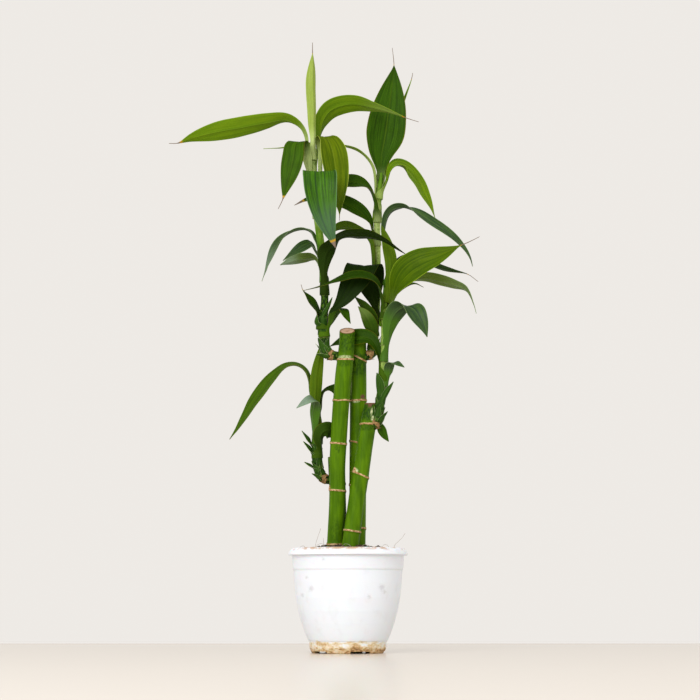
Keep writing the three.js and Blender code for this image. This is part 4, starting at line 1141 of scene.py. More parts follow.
SCALES: tuple[LeafPlan, ...] = (
    LeafPlan(
        shoot="a", height=291, side=245, wide=5.5, peak=0.5, heading=235,
        midrib=((-29, 302.5, -12.5, 0), (-28.6, 309.6, -13, 0)),
    ),
    LeafPlan(
        shoot="a", height=300, side=258, wide=4.2, peak=0.4, heading=285,
        midrib=((-19.6, 315, -13, 0), (-14.6, 326, -14, 0)),
    ),
    LeafPlan(
        shoot="c", height=230, side=250, wide=8, peak=0.5, heading=250, neck=8,
        midrib=((29.4, 245, -16.5, 0), (26.6, 256, -17.5, 0)),
    ),
    LeafPlan(
        shoot="c", height=222, side=290, wide=5.4, peak=0.45, heading=280, neck=5,
        midrib=((34.4, 236.4, -16.5, 0), (41.8, 247.6, -18, 0)),
    ),
    LeafPlan(
        shoot="c", height=207, side=0, wide=9, peak=0.4, neck=6, free=True,
        midrib=(
            (26.2, 210.4, -8.4, 60), (29.6, 205.4, -7.6, 68), (33, 198.6, -7.6, 68),
            (37.4, 192.4, -8, 60),
        ),
    ),
    LeafPlan(
        shoot="d", height=162, side=200, wide=4.6, peak=0.4, heading=200, neck=4,
        midrib=((-33.2, 169.4, 10.4, 50), (-40, 173.6, 9.6, 50)),
    ),
    LeafPlan(
        shoot="d", height=173, side=200, wide=6, peak=0.4, heading=200, neck=5,
        midrib=((-34.4, 184.8, 9.4, 55), (-41, 192.6, 8.4, 55)),
    ),
    LeafPlan(
        shoot="d", height=180, side=200, wide=6.4, peak=0.45, heading=205, neck=5,
        midrib=((-36, 193.4, 9, 60), (-42.4, 202.4, 7.6, 55)),
    ),
)

# Sleeping buds on the node rings, as height, direction and size
BUDS: dict[str, tuple[Point, ...]] = {
    "cane_a": ((149.5, 200, 2.6),),
    "cane_b": ((154, 30, 2.6),),
    "cane_c": ((164, 215, 3.0),),
    "cane_d": ((157, 160, 3.0),),
}

# Darker, paler and dried patches on the canes' skins, one darker patch painted shade
MARKS: dict[str, tuple[Mark, ...]] = {
    "cane_a": (
        Mark("pale", 270, 262, 1.5, 6.5, 0.55),
        Mark("deep", 285, 272, 11, 16, 0.55),
        Mark("dried", 272, 186, 5, 2.0),
        Mark("deep", 264, 268, 3, 6, 0.4),
        Mark("deep", 186.5, 258, 2.4, 1.6, 0.5),
        Mark("deep", 184.5, 276, 3.6, 1.2, 0.4),
        Mark("dried", 199, 352, 9, 1.4),
        Mark("deep", 108, 270, 14, 5, 0.3),
    ),
    "cane_b": (
        Mark("pale", 248, 208, 13, 1.2, 0.8),
        Mark("pale", 229, 255, 1.2, 3.4, 0.8),
        Mark("dried", 233, 306, 2.0, 2.8),
        # Painted shade: the top of cane_b darkened where the arching leaf above shadows it
        Mark("deep", 264, 268, 12, 12, 0.6),
        Mark("deep", 205, 300, 14, 3, 0.4),
    ),
    "cane_c": (
        Mark("deep", 221, 270, 9, 14),
        Mark("deep", 205, 250, 3, 10, 0.5),
        Mark("pale", 219.6, 282, 4, 0.8, 0.9),
        Mark("pale", 213.4, 296, 2.4, 1.6, 0.8),
        Mark("dried", 227.6, 270, 0.8, 30),
        Mark("dried", 225.6, 258, 2.2, 1.8),
        Mark("pale", 163.6, 218, 2.2, 3.4),
    ),
    "cane_d": (Mark("dried", 158, 190, 6, 5), Mark("deep", 165, 190, 9, 8, 0.8)),
}

# Dark and pale lengths of the shoots, as the value's name, lowest and highest place and amount. The
# pale lengths are bloom with a painted highlight
BANDS: dict[str, tuple[tuple[str, float, float, float], ...]] = {
    "a": (("deep", 255, 292, 0.9), ("deep", 300, 366, 0.95), ("pale", 400, 480, 0.5)),
    "b": (("deep", 255, 300, 1.0), ("deep", 300, 345, 0.4), ("pale", 362, 408, 0.8)),
    "c": (("deep", 195, 240, 1.0), ("pale", 252, 300, 0.3)),
    "d": (("deep", 150, 206, 1.0), ("pale", 212, 240, 0.3)),
}


def ease(values: float | np.ndarray, low: float, high: float) -> np.ndarray:
    """Goes smoothly from zero at low to one at high, which may be the smaller one."""
    part = np.clip((np.asarray(values, float) - low) / (high - low), 0, 1)
    return part * part * (3 - 2 * part)


def sight(points: Sequence[Point]) -> np.ndarray:
    """Carries points of the front view along their lines of sight to their depths.

    Args:
        points: rows of x, z and depth on the plane through the pot's axis, and anything after.

    Returns:
        Rows of x, y and z.
    """
    rows = np.array([point[:3] for point in points], float)
    scale = 1 + rows[:, 2] / EYE_DISTANCE
    height = EYE_HEIGHT + (rows[:, 1] - EYE_HEIGHT) * scale
    return np.stack([rows[:, 0] * scale, rows[:, 2], height], axis=1)


def unit(vectors: np.ndarray) -> np.ndarray:
    """Scales each vector to a length of one."""
    return vectors / np.maximum(np.linalg.norm(vectors, axis=-1, keepdims=True), 1e-12)


def square_to(vectors: np.ndarray, forward: np.ndarray) -> np.ndarray:
    """Takes out what lies along `forward`, and scales the rest to a length of one."""
    return unit(vectors - np.sum(vectors * forward, axis=-1, keepdims=True) * forward)


def circle(sides: int) -> tuple[np.ndarray, np.ndarray, np.ndarray]:
    """Angles round a circle, with their cosines and sines."""
    angles = 2 * np.pi * np.arange(sides) / sides
    return angles, np.cos(angles), np.sin(angles)


def rough(points: np.ndarray, size: float, seed: float = 0.0) -> np.ndarray:
    """Smooth noise of a grain size at points, from about -1 to 1. The seed shifts it."""
    shift = Vector((seed * 7.3, seed * 3.1, seed * 5.7))
    return np.array([noise.noise(Vector(point) / size + shift) for point in points])


class Route:
    """Smooth centripetal curve through points, as the part's source draws it."""

    SAMPLES = 200
    NUDGE = 1e-4
    HALVINGS = 24

    def __init__(self, points: np.ndarray) -> None:
        """Keeps the points and measures the curve.

        Args:
            points: its stations, as rows of x, y and z.
        """
        self.points = np.asarray(points, float)
        self.count = len(self.points) - 1
        self.marks = np.linspace(0, 1, self.SAMPLES + 1)
        steps = np.linalg.norm(np.diff(self.at(self.marks), axis=0), axis=1)
        self.lengths = np.concatenate([[0], np.cumsum(steps)])

    def at(self, places: float | np.ndarray) -> np.ndarray:
        """Points of the curve.

        Args:
            places: numbers from zero to one, evenly shared by the stations.

        Returns:
            Rows of x, y and z.
        """
        spots = np.clip(np.atleast_1d(np.asarray(places, float)), 0, 1) * self.count
        index = np.minimum(np.floor(spots).astype(int), self.count - 1)
        weight = (spots - index)[:, None]
        first, last = 2 * self.points[0] - self.points[1], 2 * self.points[-1] - self.points[-2]
        rows = np.vstack([first, self.points, last])
        before, start, end, after = (rows[index + k] for k in range(4))
        back, middle, ahead = (
            np.sum((b - a) ** 2, axis=1, keepdims=True) ** 0.25
            for a, b in ((before, start), (start, end), (end, after))
        )
        step = (end - start) / middle
        leave = (start - before) / back - (end - before) / (back + middle) + step
        arrive = step - (after - start) / (middle + ahead) + (after - end) / ahead
        leave, arrive = leave * middle, arrive * middle
        square = -3 * start + 3 * end - 2 * leave - arrive
        cube = 2 * start - 2 * end + leave + arrive
        return start + leave * weight + square * weight**2 + cube * weight**3

    def along(self, places: float | np.ndarray) -> np.ndarray:
        """Directions of the curve.

        Args:
            places: numbers from zero to one, evenly shared by the stations.

        Returns:
            Rows of x, y and z.
        """
        places = np.atleast_1d(np.asarray(places, float))
        low, high = np.clip(places - self.NUDGE, 0, 1), np.clip(places + self.NUDGE, 0, 1)
        return unit(self.at(high) - self.at(low))

    def paced(self, parts: float | np.ndarray) -> np.ndarray:
        """Places that stand at parts of the curve's length."""
        return np.interp(np.asarray(parts, float) * self.lengths[-1], self.lengths, self.marks)

    def part_at(self, station: int) -> float:
        """Part of the length at which a station stands."""
        return self.lengths[round(self.SAMPLES * station / self.count)] / self.lengths[-1]

    def at_height(self, height: float, low: float = 0.0, high: float = 1.0) -> float:
        """Place between two others that shows at a height.

        Args:
            height: in the front view.
            low: place that shows below it.
            high: place that shows above it.

        Returns:
            The place.
        """
        for _ in range(self.HALVINGS):
            middle = (low + high) / 2
            point = self.at(middle)[0]
            seen = EYE_HEIGHT + (point[2] - EYE_HEIGHT) * EYE_DISTANCE / (EYE_DISTANCE + point[1])
            low, high = (middle, high) if seen < height else (low, middle)
        return low


@dataclass
class Shell:
    """A closed surface in millimetres.

    Attributes:
        points: its corners.
        faces: the corners of each face, counterclockwise from outside.
        values: numbers at its points that the materials read.
        uvs: flat coordinates at its points, by the map's name.
        finish: number of its material in the piece.
    """

    points: np.ndarray
    faces: list[tuple[int, ...]]
    values: dict[str, np.ndarray] = field(default_factory=dict)
    uvs: dict[str, np.ndarray] = field(default_factory=dict)
    finish: int = 0


def slab(top: np.ndarray, bottom: np.ndarray) -> Shell:
    """Closes the gap between two grids of points.

    Args:
        top: grid of the upper face, whose rows run across.
        bottom: grid of the lower face, of the same size.

    Returns:
        The shell, with the upper face's points first.
    """
    rows, columns = top.shape[:2]
    count = rows * columns
    grid = np.arange(count).reshape(rows, columns)
    a, b, c, d = grid[:-1, :-1], grid[:-1, 1:], grid[1:, 1:], grid[1:, :-1]
    faces = [*np.stack([a, d, c, b], axis=-1).reshape(-1, 4)]
    faces += [*np.stack([a, b, c, d], axis=-1).reshape(-1, 4) + count]
    for edge, turned in ((grid[:, -1], 0), (grid[:, 0], 1), (grid[0], 0), (grid[-1], 1)):
        for p, q in zip(edge[:-1], edge[1:]):
            faces.append((p, p + count, q + count, q) if turned else (p, q, q + count, p + count))
    points = np.vstack([top.reshape(-1, 3), bottom.reshape(-1, 3)])
    return Shell(points, [tuple(map(int, face)) for face in faces])


def skin(rings: np.ndarray, caps: tuple[int, int] = (1, 1), dish: float = 0.0) -> Shell:
    """Closed skin over rings of points.

    Args:
        rings: one row of points for each ring.
        caps: how many rings of faces close each end.
        dish: how far the far end's middle sinks.

    Returns:
        The shell, with its points in the order of the rings, then the two ends'.
    """
    count, sides = rings.shape[:2]
    points = [rings.reshape(-1, 3)]
    faces = []
    for low in range(0, (count - 1) * sides, sides):
        for k in range(sides):
            n = (k + 1) % sides
            faces.append((low + k, low + n, low + sides + n, low + sides + k))
    total = count * sides
    forward = unit(rings[-1].mean(axis=0) - rings[-2].mean(axis=0))
    radial = [np.ones(total)]
    for end, (outer, steps) in enumerate(zip((0, count - 1), caps)):
        edge = np.arange(outer * sides, (outer + 1) * sides)
        ring, middle = rings[outer], rings[outer].mean(axis=0)
        sink = forward * dish * end
        for step in range(1, steps + 1):
            share = 1 - step / steps
            size = sides if share else 1
            inner = middle + (ring - middle) * share - sink * (1 - share**4)
            points.append(inner[:size])
            radial.append(np.full(size, share))
            new = np.arange(total, total + sides) if share else np.full(sides, total)
            total += size
            for k in range(sides):
                n = (k + 1) % sides
                face = (edge[n], edge[k], new[k], new[n])[: 4 if share else 3]
                faces.append(face[::-1] if end else face)
            edge = new
    faces = [tuple(map(int, face)) for face in faces]
    return Shell(np.vstack(points), faces, {"radial": np.concatenate(radial)})


def start_tree(name: str, inputs: dict[str, str]) -> tuple[bpy.types.NodeTree, Any]:
    """Starts a node tree for a modifier.

    Args:
        name: the tree's name.
        inputs: the kinds of its inputs after the geometry, by name.

    Returns:
        The tree, and the outputs of its first node, which carry the inputs.
    """
    tree = bpy.data.node_groups.new(name, "GeometryNodeTree")
    tree.is_modifier = True
    for key, kind in {"Geometry": "Geometry", **inputs}.items():
        tree.interface.new_socket(key, in_out="INPUT", socket_type=f"NodeSocket{kind}")
    tree.interface.new_socket("Geometry", in_out="OUTPUT", socket_type="NodeSocketGeometry")
    return tree, add_node(tree, "NodeGroupInput").outputs


class Piece:
    """Base of the sub-assemblies: turns shells into dressed objects on the part's body."""

    SHARP = 40.0

    def make(
        self,
        name: str,
        shells: list[Shell],
        finishes: list[Finish],
        nodes: list[str],
        slot: str,
    ) -> bpy.types.Object:
        """Makes one object.

        Args:
            name: the piece's name.
            shells: its closed surfaces.
            finishes: its finishes, in the order that the shells number them.
            nodes: the solids that it stands for.
            slot: the record's material slot.

        Returns:
            The object.
        """
        mesh = bpy.data.meshes.new(name)
        points = np.vstack([shell.points for shell in shells]) * MM
        faces, start = [], 0
        for shell in shells:
            faces += [tuple(i + start for i in face) for face in shell.faces]
            start += len(shell.points)
        mesh.from_pydata(points.tolist(), [], faces)
        for key in sorted({key for shell in shells for key in shell.values}):
            values = [shell.values.get(key, np.zeros(len(shell.points))) for shell in shells]
            layer = mesh.attributes.new(key, "FLOAT", "POINT")
            layer.data.foreach_set("value", np.concatenate(values).astype(np.float32))
        corners = np.empty(len(mesh.loops), np.int32)
        mesh.loops.foreach_get("vertex_index", corners)
        for key in sorted({key for shell in shells for key in shell.uvs}):
            flat = [shell.uvs.get(key, np.zeros((len(shell.points), 2))) for shell in shells]
            layer = mesh.uv_layers.new(name=key)
            layer.data.foreach_set("uv", np.vstack(flat)[corners].astype(np.float32).ravel())
        self.dress(mesh, finishes, self.SHARP)
        numbers = [shell.finish for shell in shells for _ in shell.faces]
        mesh.polygons.foreach_set("material_index", np.array(numbers, np.int32))
        mesh.validate()
        return self.place(bpy.data.objects.new(name, mesh), nodes, slot)

    def dress(self, mesh: bpy.types.Mesh, finishes: list[Finish], sharp: float) -> None:
        """Gives a mesh its materials and smooth faces.

        Args:
            mesh: the mesh.
            finishes: its finishes.
            sharp: least angle of an edge that stays sharp.
        """
        for finish in finishes:
            mesh.materials.append(finish.material())
        mesh.polygons.foreach_set("use_smooth", np.ones(len(mesh.polygons), bool))
        mesh.set_sharp_from_angle(angle=math.radians(sharp))

    def place(self, piece: bpy.types.Object, nodes: list[str], slot: str) -> bpy.types.Object:
        """Puts a finished object on the part's body.

        Args:
            piece: the object, with its place in its mesh.
            nodes: the solids that it stands for.
            slot: the record's material slot; not used.

        Returns:
            The object.
        """
        if piece.name not in bpy.context.scene.collection.objects:
            bpy.context.scene.collection.objects.link(piece)
        if nodes:
            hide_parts(*nodes)
        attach(piece, BODY)
        return piece

    def bake(self, piece: bpy.types.Object) -> None:
        """Turns an object's modifiers into its plain mesh.

        Args:
            piece: the object.
        """
        evaluated = piece.evaluated_get(bpy.context.evaluated_depsgraph_get())
        plain = bpy.data.meshes.new_from_object(evaluated)
        piece.modifiers.clear()
        piece.data = plain
        plain.name = piece.name

    def grow(
        self, name: str, mesh: bpy.types.Mesh, tree: bpy.types.NodeTree, sizes: dict[str, float]
    ) -> bpy.types.Object:
        """Runs a node tree on a mesh, and keeps what it makes as a plain mesh.

        Args:
            name: the new piece's name.
            mesh: what the tree starts from.
            tree: the node tree.
            sizes: its inputs by name.

        Returns:
            The piece.
        """
        piece = bpy.data.objects.new(name, mesh)
        bpy.context.scene.collection.objects.link(piece)
        modifier = piece.modifiers.new(tree.name, "NODES")
        modifier.node_group = tree
        for item in tree.interface.items_tree:
            if item.in_out == "INPUT" and item.name in sizes:
                modifier[item.identifier] = sizes[item.name]
        self.bake(piece)
        return self.place(piece, [], "soil")


@dataclass
class NurseryPot(Piece):
    """White pot of one moulding, turned from the profile that its solid has.

    Attributes:
        sides: faces round the pot.
        sharp: least angle of an edge that stays sharp.
        rounding: radius of its corners.
        bends: places on each rounded corner.
        shoulder: how far the underside's steps lean.
        pad: radius of the flat middle of the underside.
        channel: height of the drained ring under the floor.
        floor: thickness of the floor.
        notches: how many drain notches cut the foot.
        first_notch: turn of the first of them.
        notch: width, depth and height of one.
        drains: how many drain holes the floor has.
        drain_radius: radius of one.
        drain_circle: radius of the circle that they stand on.
        drain_sides: faces round one.
        foot: inner and outer radius of the ring that the pot stands on.
        outside: radius and height of the outer wall's corners, from the foot to the lip.
        inside: the same for the inner wall, from the lip to the floor.
    """

    sides: int = 144
    sharp: float = 32.0
    rounding: float = 0.7
    bends: Point = (0, 0.33, 0.67, 1)
    shoulder: float = 0.8
    pad: float = 13.0
    channel: float = 2.4
    floor: float = 2.0
    notches: int = 5
    first_notch: float = -51.5
    notch: Point = (19.0, 10.0, 1.9)
    drains: int = 6
    drain_radius: float = 3.2
    drain_circle: float = 20.0
    drain_sides: int = 32
    foot: Point = (27.0, 32.6)
    outside: tuple[Point, ...] = (
        (32.6, 0), (33.6, 1.6), (34.9, 5), (35.2, 10.6), (36.3, 11.6), (39, 18), (42.2, 27),
        (45.3, 38), (47.6, 50), (49, 64), (49.5, 74.6), (50.4, 76), (51.1, 88.6), (54.3, 88.3),
        (54.6, 89.3), (53.6, 92), (51.6, 94.4), (49.4, 95.2),
    )
    inside: tuple[Point, ...] = (
        (48, 94.6), (48.6, 88), (47.9, 76), (47.2, 64), (45.8, 50), (43.5, 38), (40.4, 27),
        (37.2, 18), (34.2, 11), (32.6, 4.4),
    )

    def profile(self) -> list[np.ndarray]:
        """The closed outline of the wall, with its corners rounded.

        Returns:
            Points as radius and height.
        """
        near, far = self.pad + self.shoulder, self.foot[0] - self.shoulder
        under = [(self.pad, 0), (near, self.channel), (far, self.channel), (self.foot[0], 0)]
        corners = [*under, *self.outside, *self.inside]
        rows = [np.array(point, float) for point in corners]
        outline = [rows[0]]
        for before, corner, after in zip(rows, rows[1:], rows[2:]):
            back, ahead = before - corner, after - corner
            reach = min(self.rounding, 0.4 * np.linalg.norm(back), 0.4 * np.linalg.norm(ahead))
            start, end = corner + unit(back) * reach, corner + unit(ahead) * reach
            for t in self.bends:
                outline.append(start * (1 - t) ** 2 + corner * 2 * t * (1 - t) + end * t**2)
        outline.append(rows[-1])
        return outline

    def bowl(self) -> bpy.types.Object:
        """The closed wall, before its notches and holes."""
        _, cos, sin = circle(self.sides)
        rings = [np.stack([r * cos, r * sin, np.full(self.sides, z)], 1) for r, z in self.profile()]
        shell = skin(np.array(rings))
        # The middles of the two ends, which come last, lie on the axis
        shell.points[-2:, :2] = 0
        mesh = bpy.data.meshes.new("pot_wall")
        mesh.from_pydata((shell.points * MM).tolist(), [], shell.faces)
        return bpy.data.objects.new("pot_wall", mesh)

    def cutters(self) -> bpy.types.Object:
        """The notches in the foot and the holes in the floor, as one object."""
        mesh = bmesh.new()
        width, depth, height = (size * MM for size in self.notch)
        for i in range(self.notches):
            box = bmesh.ops.create_cube(mesh, size=1.0)["verts"]
            bmesh.ops.scale(mesh, vec=(width, depth, 2 * height), verts=box)
            bmesh.ops.translate(mesh, vec=(0, -sum(self.foot) / 2 * MM, 0), verts=box)
            self.turn(box, math.radians(self.first_notch + 360 / self.notches * i))
        for i in range(self.drains):
            hole = bmesh.ops.create_cone(
                mesh,
                cap_ends=True,
                segments=self.drain_sides,
                radius1=self.drain_radius * MM,
                radius2=self.drain_radius * MM,
                depth=4 * self.floor * MM,
            )["verts"]
            spot = (self.drain_circle * MM, 0, (self.channel + self.floor / 2) * MM)
            bmesh.ops.translate(mesh, vec=spot, verts=hole)
            self.turn(hole, 2 * math.pi * i / self.drains)
        data = bpy.data.meshes.new("pot_cutters")
        mesh.to_mesh(data)
        mesh.free()
        return bpy.data.objects.new("pot_cutters", data)

    def turn(self, points: list[bmesh.types.BMVert], angle: float) -> None:
        """Turns some points about the pot's axis.

        Args:
            points: the points.
            angle: how far, in radians.
        """
        cos, sin = math.cos(angle), math.sin(angle)
        for point in points:
            x, y, z = point.co
            point.co = (x * cos - y * sin, x * sin + y * cos, z)

    def build(self) -> bpy.types.Object:
        """Makes the pot and dresses it."""
        wall, cutters = self.bowl(), self.cutters()
        for piece in (wall, cutters):
            bpy.context.scene.collection.objects.link(piece)
        cut = wall.modifiers.new("cut", "BOOLEAN")
        cut.operation = "DIFFERENCE"
        cut.solver = "EXACT"
        cut.object = cutters
        self.bake(wall)
        bpy.data.objects.remove(cutters)
        wall.name = "nursery_pot"
        wall.data.materials.clear()
        self.dress(wall.data, [PotFinish("pot_polypropylene_moulded", 0.36)], self.sharp)
        return self.place(wall, ["pot"], "pot_plastic")


@dataclass(frozen=True)
class Litter:
    """One kind of loose bit that lies on the bed.

    Attributes:
        name: the tree's input that says how many lie on a square metre.
        spread: how much longer than a ball one is along X, Y and Z.
        small: size of the smallest.
        large: size of the largest.
        tumble: how far one leans over at most, in radians.
        shift: what is added to the seed.
        finish: the name of its finish.
    """

    name: str
    spread: Point
    small: float
    large: float
    tumble: float
    shift: float
    finish: str


@dataclass
class SoilBed(Piece):
    """Peat mix that fills the pot, with crumbs, bark and dry root hairs on it.

    Attributes:
        wall: inner face of the pot as radius and height.
        surface: the bed's top as radius and height.
        clearance: gap to the pot.
        lift: how far its foot stands above the pot's floor.
        swells: height and grain of the noise that breaks up the top.
        settle: how far the broken top sinks.
        strewn: radius to which loose bits lie on it.
        lumps: how many larger lumps lie in it.
        lump_radius: least radius of a lump and its range.
        lump_reach: the same for its distance from the axis.
        lump_sunk: the same for the part of its radius that is buried.
        seed: start of the draws for the lumps, as in the part's source.
        sides: faces round the bed.
        step: width of a ring of faces.
        crumbs: crumbs for each square metre.
        chips: bits of bark for each square metre.
        crumb_radius: of a crumb whose size is one.
        ragged: how far a bit's skin goes in and out.
        breaks: how many times in a metre it does so, which is every 1.1 mm.
        litter: the two kinds of loose bits.
        hair_radius: radius of a root hair.
        hair_sides: faces round it.
        hair_rows: points along it.
        hairs: stations of the hairs in the front view.
    """

    TURN = 6.283
    FACTOR = 16807
    MODULUS = 2147483647

    wall: tuple[Point, ...] = (
        (32.6, 4.4), (34.2, 11), (37.2, 18), (40.4, 27), (43.5, 38), (45.8, 50), (47.2, 64),
        (47.9, 76), (48.6, 88),
    )
    surface: tuple[Point, ...] = ((46.6, 90.5), (38, 92.5), (28, 95.2), (18, 97.2), (0, 97.5))
    clearance: float = 0.525
    lift: float = 0.35
    swells: tuple[Point, ...] = ((1.5, 9), (1.1, 3.6), (0.7, 1.7))
    settle: float = 0.9
    strewn: float = 45.5
    lumps: int = 14
    lump_radius: Point = (2.2, 2.2)
    lump_reach: Point = (12, 32)
    lump_sunk: Point = (0.25, 0.35)
    seed: int = 7
    sides: int = 180
    step: float = 1.3
    crumbs: float = 105000.0
    chips: float = 20000.0
    crumb_radius: float = 1.15
    ragged: float = 1.1
    breaks: float = 900.0
    litter: tuple[Litter, ...] = (
        Litter("Crumbs", (1.0, 0.85, 0.7), 0.45, 1.5, TURN, 0.0, "soil_peat_crumbs"),
        Litter("Chips", (2.6, 0.9, 0.4), 0.5, 1.3, 0.7, 5.0, "soil_bark_chips"),
    )
    hair_radius: float = 0.14
    hair_sides: int = 6
    hair_rows: int = 22
    hairs: tuple[tuple[Point, ...], ...] = (
        ((-30.3, 93, -20), (-29.6, 98, -20.6), (-27.8, 104.4, -21), (-24.8, 112.8, -21)),
        ((-22, 94, -33), (-22.2, 98.6, -34), (-22.6, 104, -34)),
        ((41, 92, -14), (43, 98, -14.5), (46, 101, -14.6), (49.5, 104.5, -14), (52.2, 108.4, -13)),
        ((12, 96, -33), (15, 98, -34), (18.4, 97.4, -34.4), (21, 95.4, -35)),
        ((25, 94.6, -30), (28, 96.6, -31), (31.6, 96, -31.4), (34.6, 94, -31)),
        ((-38, 93, -14), (-40, 96.6, -15), (-42.6, 96.6, -15), (-44.4, 94, -14.6)),
        ((-6, 96, -36), (-3, 98.6, -37), (1, 98, -37.4), (3, 95.4, -38)),
        ((30, 94, 14), (33, 98, 15), (36, 97.6, 15.6), (38, 94, 16)),
        ((-20, 95, 30), (-24, 99, 31), (-28, 97.6, 31.4), (-30, 93.6, 31)),
        ((6, 96, 32), (9, 99.6, 33), (13, 98.4, 33.4), (16, 94.6, 33)),
    )

    def finishes(self) -> dict[str, Finish]:
        """The finishes of the bed, the crumbs, the bark and the hairs, by name."""
        kinds = (
            SoilFinish("soil_peat_bed", 0.95),
            SoilFinish("soil_peat_crumbs", 0.93, dark="#241a13", brown="#513a27"),
            SoilFinish("soil_bark_chips", 0.85, dark="#3b2818", brown="#7d5c3c"),
            DryFinish("root_hair_dry", 0.7, color="#9c8f80", light="#c4b8a8"),
        )
        return {kind.name: kind for kind in kinds}

    def lump_spheres(self) -> list[Point]:
        """Place and radius of each lump that the solid has."""
        state = self.seed

        def draw(least: float = 0.0, extent: float = 1.0, power: float = 1.0) -> float:
            """The next number of the generator that the part's source uses.

            Args:
                least: what it is at least.
                extent: how much more it can be.
                power: what the even draw is raised to.

            Returns:
                The number.
            """
            nonlocal state
            state = (state * self.FACTOR) % self.MODULUS
            return least + extent * (state / self.MODULUS) ** power

        spheres = []
        radii, heights = zip(*self.surface[::-1])
        for _ in range(self.lumps):
            radius = draw(*self.lump_radius)
            reach = draw(*self.lump_reach, power=0.5)
            angle = 2 * math.pi * draw()
            sunk = radius * draw(*self.lump_sunk)
            height = float(np.interp(reach, radii, heights)) - sunk
            spheres.append((reach * math.cos(angle), reach * math.sin(angle), height, radius))
            # The source draws two more for the lump's turn, which a ball doesn't need
            draw(), draw()
        return spheres

    def bed(self) -> Shell:
        """The bed's closed surface, with a broken top."""
        radii, heights = zip(*self.surface[::-1])
        levels = [(radius - self.clearance, height) for radius, height in self.wall]
        levels[0] = (levels[0][0], levels[0][1] + self.lift)
        for radius in np.arange(self.surface[0][0], 2.0, -self.step):
            levels.append((radius, float(np.interp(radius, radii, heights))))
        _, cos, sin = circle(self.sides)
        rings = [np.stack([r * cos, r * sin, np.full(self.sides, z)], 1) for r, z in levels]
        shell = skin(np.array(rings))
        points = shell.points
        reach = np.hypot(points[:, 0], points[:, 1])
        top = (points[:, 2] > self.wall[-1][1] + 0.5) & (reach < self.surface[0][0] + 0.1)
        spots = points[top]
        swells = enumerate(self.swells, 1)
        rise = sum(high * rough(spots, grain, seed) for seed, (high, grain) in swells)
        height = spots[:, 2] + rise - self.settle
        # A lump is a ball with a knobbly skin, a little flattened
        for x, y, z, radius in self.lump_spheres():
            away = np.hypot(spots[:, 0] - x, spots[:, 1] - y)
            knob = 1 + 0.12 * rough(spots, 1.5, 4)
            inside = np.sqrt(np.maximum((radius * knob) ** 2 - away**2, 0))
            height = np.where(inside > 0, np.maximum(height, z + inside * 0.92), height)
        points[top, 2] = height
        shell.values["top"] = np.where(top & (reach < self.strewn), 1.0, 0.0)
        return shell

    def scatter(self) -> bpy.types.NodeTree:
        """Node tree that strews crumbs and bark over the top of the bed.

        Returns:
            The tree.
        """
        inputs = {"Crumbs": "Float", "Chips": "Float", "Crumb size": "Float", "Seed": "Int"}
        tree, given = start_tree("strew_soil", inputs)
        values = {"data_type": "FLOAT", "Name": "top"}
        top = add_node(tree, "GeometryNodeInputNamedAttribute", values).outputs["Attribute"]
        values = {"data_type": "FLOAT", "operation": "GREATER_THAN", "B": 0.5, "A": top}
        chosen = add_node(tree, "FunctionNodeCompare", values).outputs["Result"]
        joined = add_node(tree, "GeometryNodeJoinGeometry")
        for kind in self.litter:
            values = {"operation": "ADD", 1: kind.shift, 0: given["Seed"]}
            seed = add_node(tree, "ShaderNodeMath", values).outputs[0]
            values = {"Mesh": given["Geometry"], "Selection": chosen, "Density": given[kind.name]}
            values["Seed"] = seed
            points = add_node(tree, "GeometryNodeDistributePointsOnFaces", values)
            values = {"Subdivisions": 2, "Radius": given["Crumb size"]}
            ball = add_node(tree, "GeometryNodeMeshIcoSphere", values)
            values = {"Scale": kind.spread, "Geometry": ball.outputs["Mesh"]}
            flat = add_node(tree, "GeometryNodeTransform", values)
            most = (self.TURN, kind.tumble, self.TURN)
            values = {"data_type": "FLOAT_VECTOR", "Max": most, "Seed": seed}
            turn = add_node(tree, "FunctionNodeRandomValue", values)
            values = {"data_type": "FLOAT", 2: kind.small, 3: kind.large, "Seed": seed}
            size = add_node(tree, "FunctionNodeRandomValue", values)
            values = {"Points": points.outputs["Points"], "Instance": flat.outputs["Geometry"]}
            values |= {"Rotation": turn.outputs["Value"], "Scale": size.outputs[1]}
            strewn = add_node(tree, "GeometryNodeInstanceOnPoints", values)
            values = {"Geometry": strewn.outputs["Instances"]}
            real = add_node(tree, "GeometryNodeRealizeInstances", values)
            values = {"Scale": self.breaks, "Detail": 1.0}
            broken = add_node(tree, "ShaderNodeTexNoise", values).outputs["Fac"]
            far = self.ragged * MM
            values = {"operation": "MULTIPLY_ADD", 1: 2 * far, 2: -far, 0: broken}
            centred = add_node(tree, "ShaderNodeMath", values).outputs[0]
            normal = add_node(tree, "GeometryNodeInputNormal").outputs["Normal"]
            values = {"operation": "SCALE", "Vector": normal, "Scale": centred}
            push = add_node(tree, "ShaderNodeVectorMath", values).outputs["Vector"]
            values = {"Geometry": real.outputs["Geometry"], "Offset": push}
            bits = add_node(tree, "GeometryNodeSetPosition", values).outputs["Geometry"]
            values = {"Material": self.finishes()[kind.finish].material(), "Geometry": bits}
            dressed = add_node(tree, "GeometryNodeSetMaterial", values).outputs["Geometry"]
            tree.links.new(dressed, joined.inputs["Geometry"])
        add_node(tree, "NodeGroupOutput", {"Geometry": joined.outputs["Geometry"]})
        return tree

    def strew(self, bed: bpy.types.Object) -> bpy.types.Object:
        """Makes the crumbs and the bark as one plain mesh.

        Args:
            bed: what they lie on.

        Returns:
            The object.
        """
        sizes = {"Crumbs": self.crumbs, "Chips": self.chips}
        sizes |= {"Crumb size": self.crumb_radius * MM, "Seed": SEED}
        return self.grow("soil_crumbs", bed.data.copy(), self.scatter(), sizes)

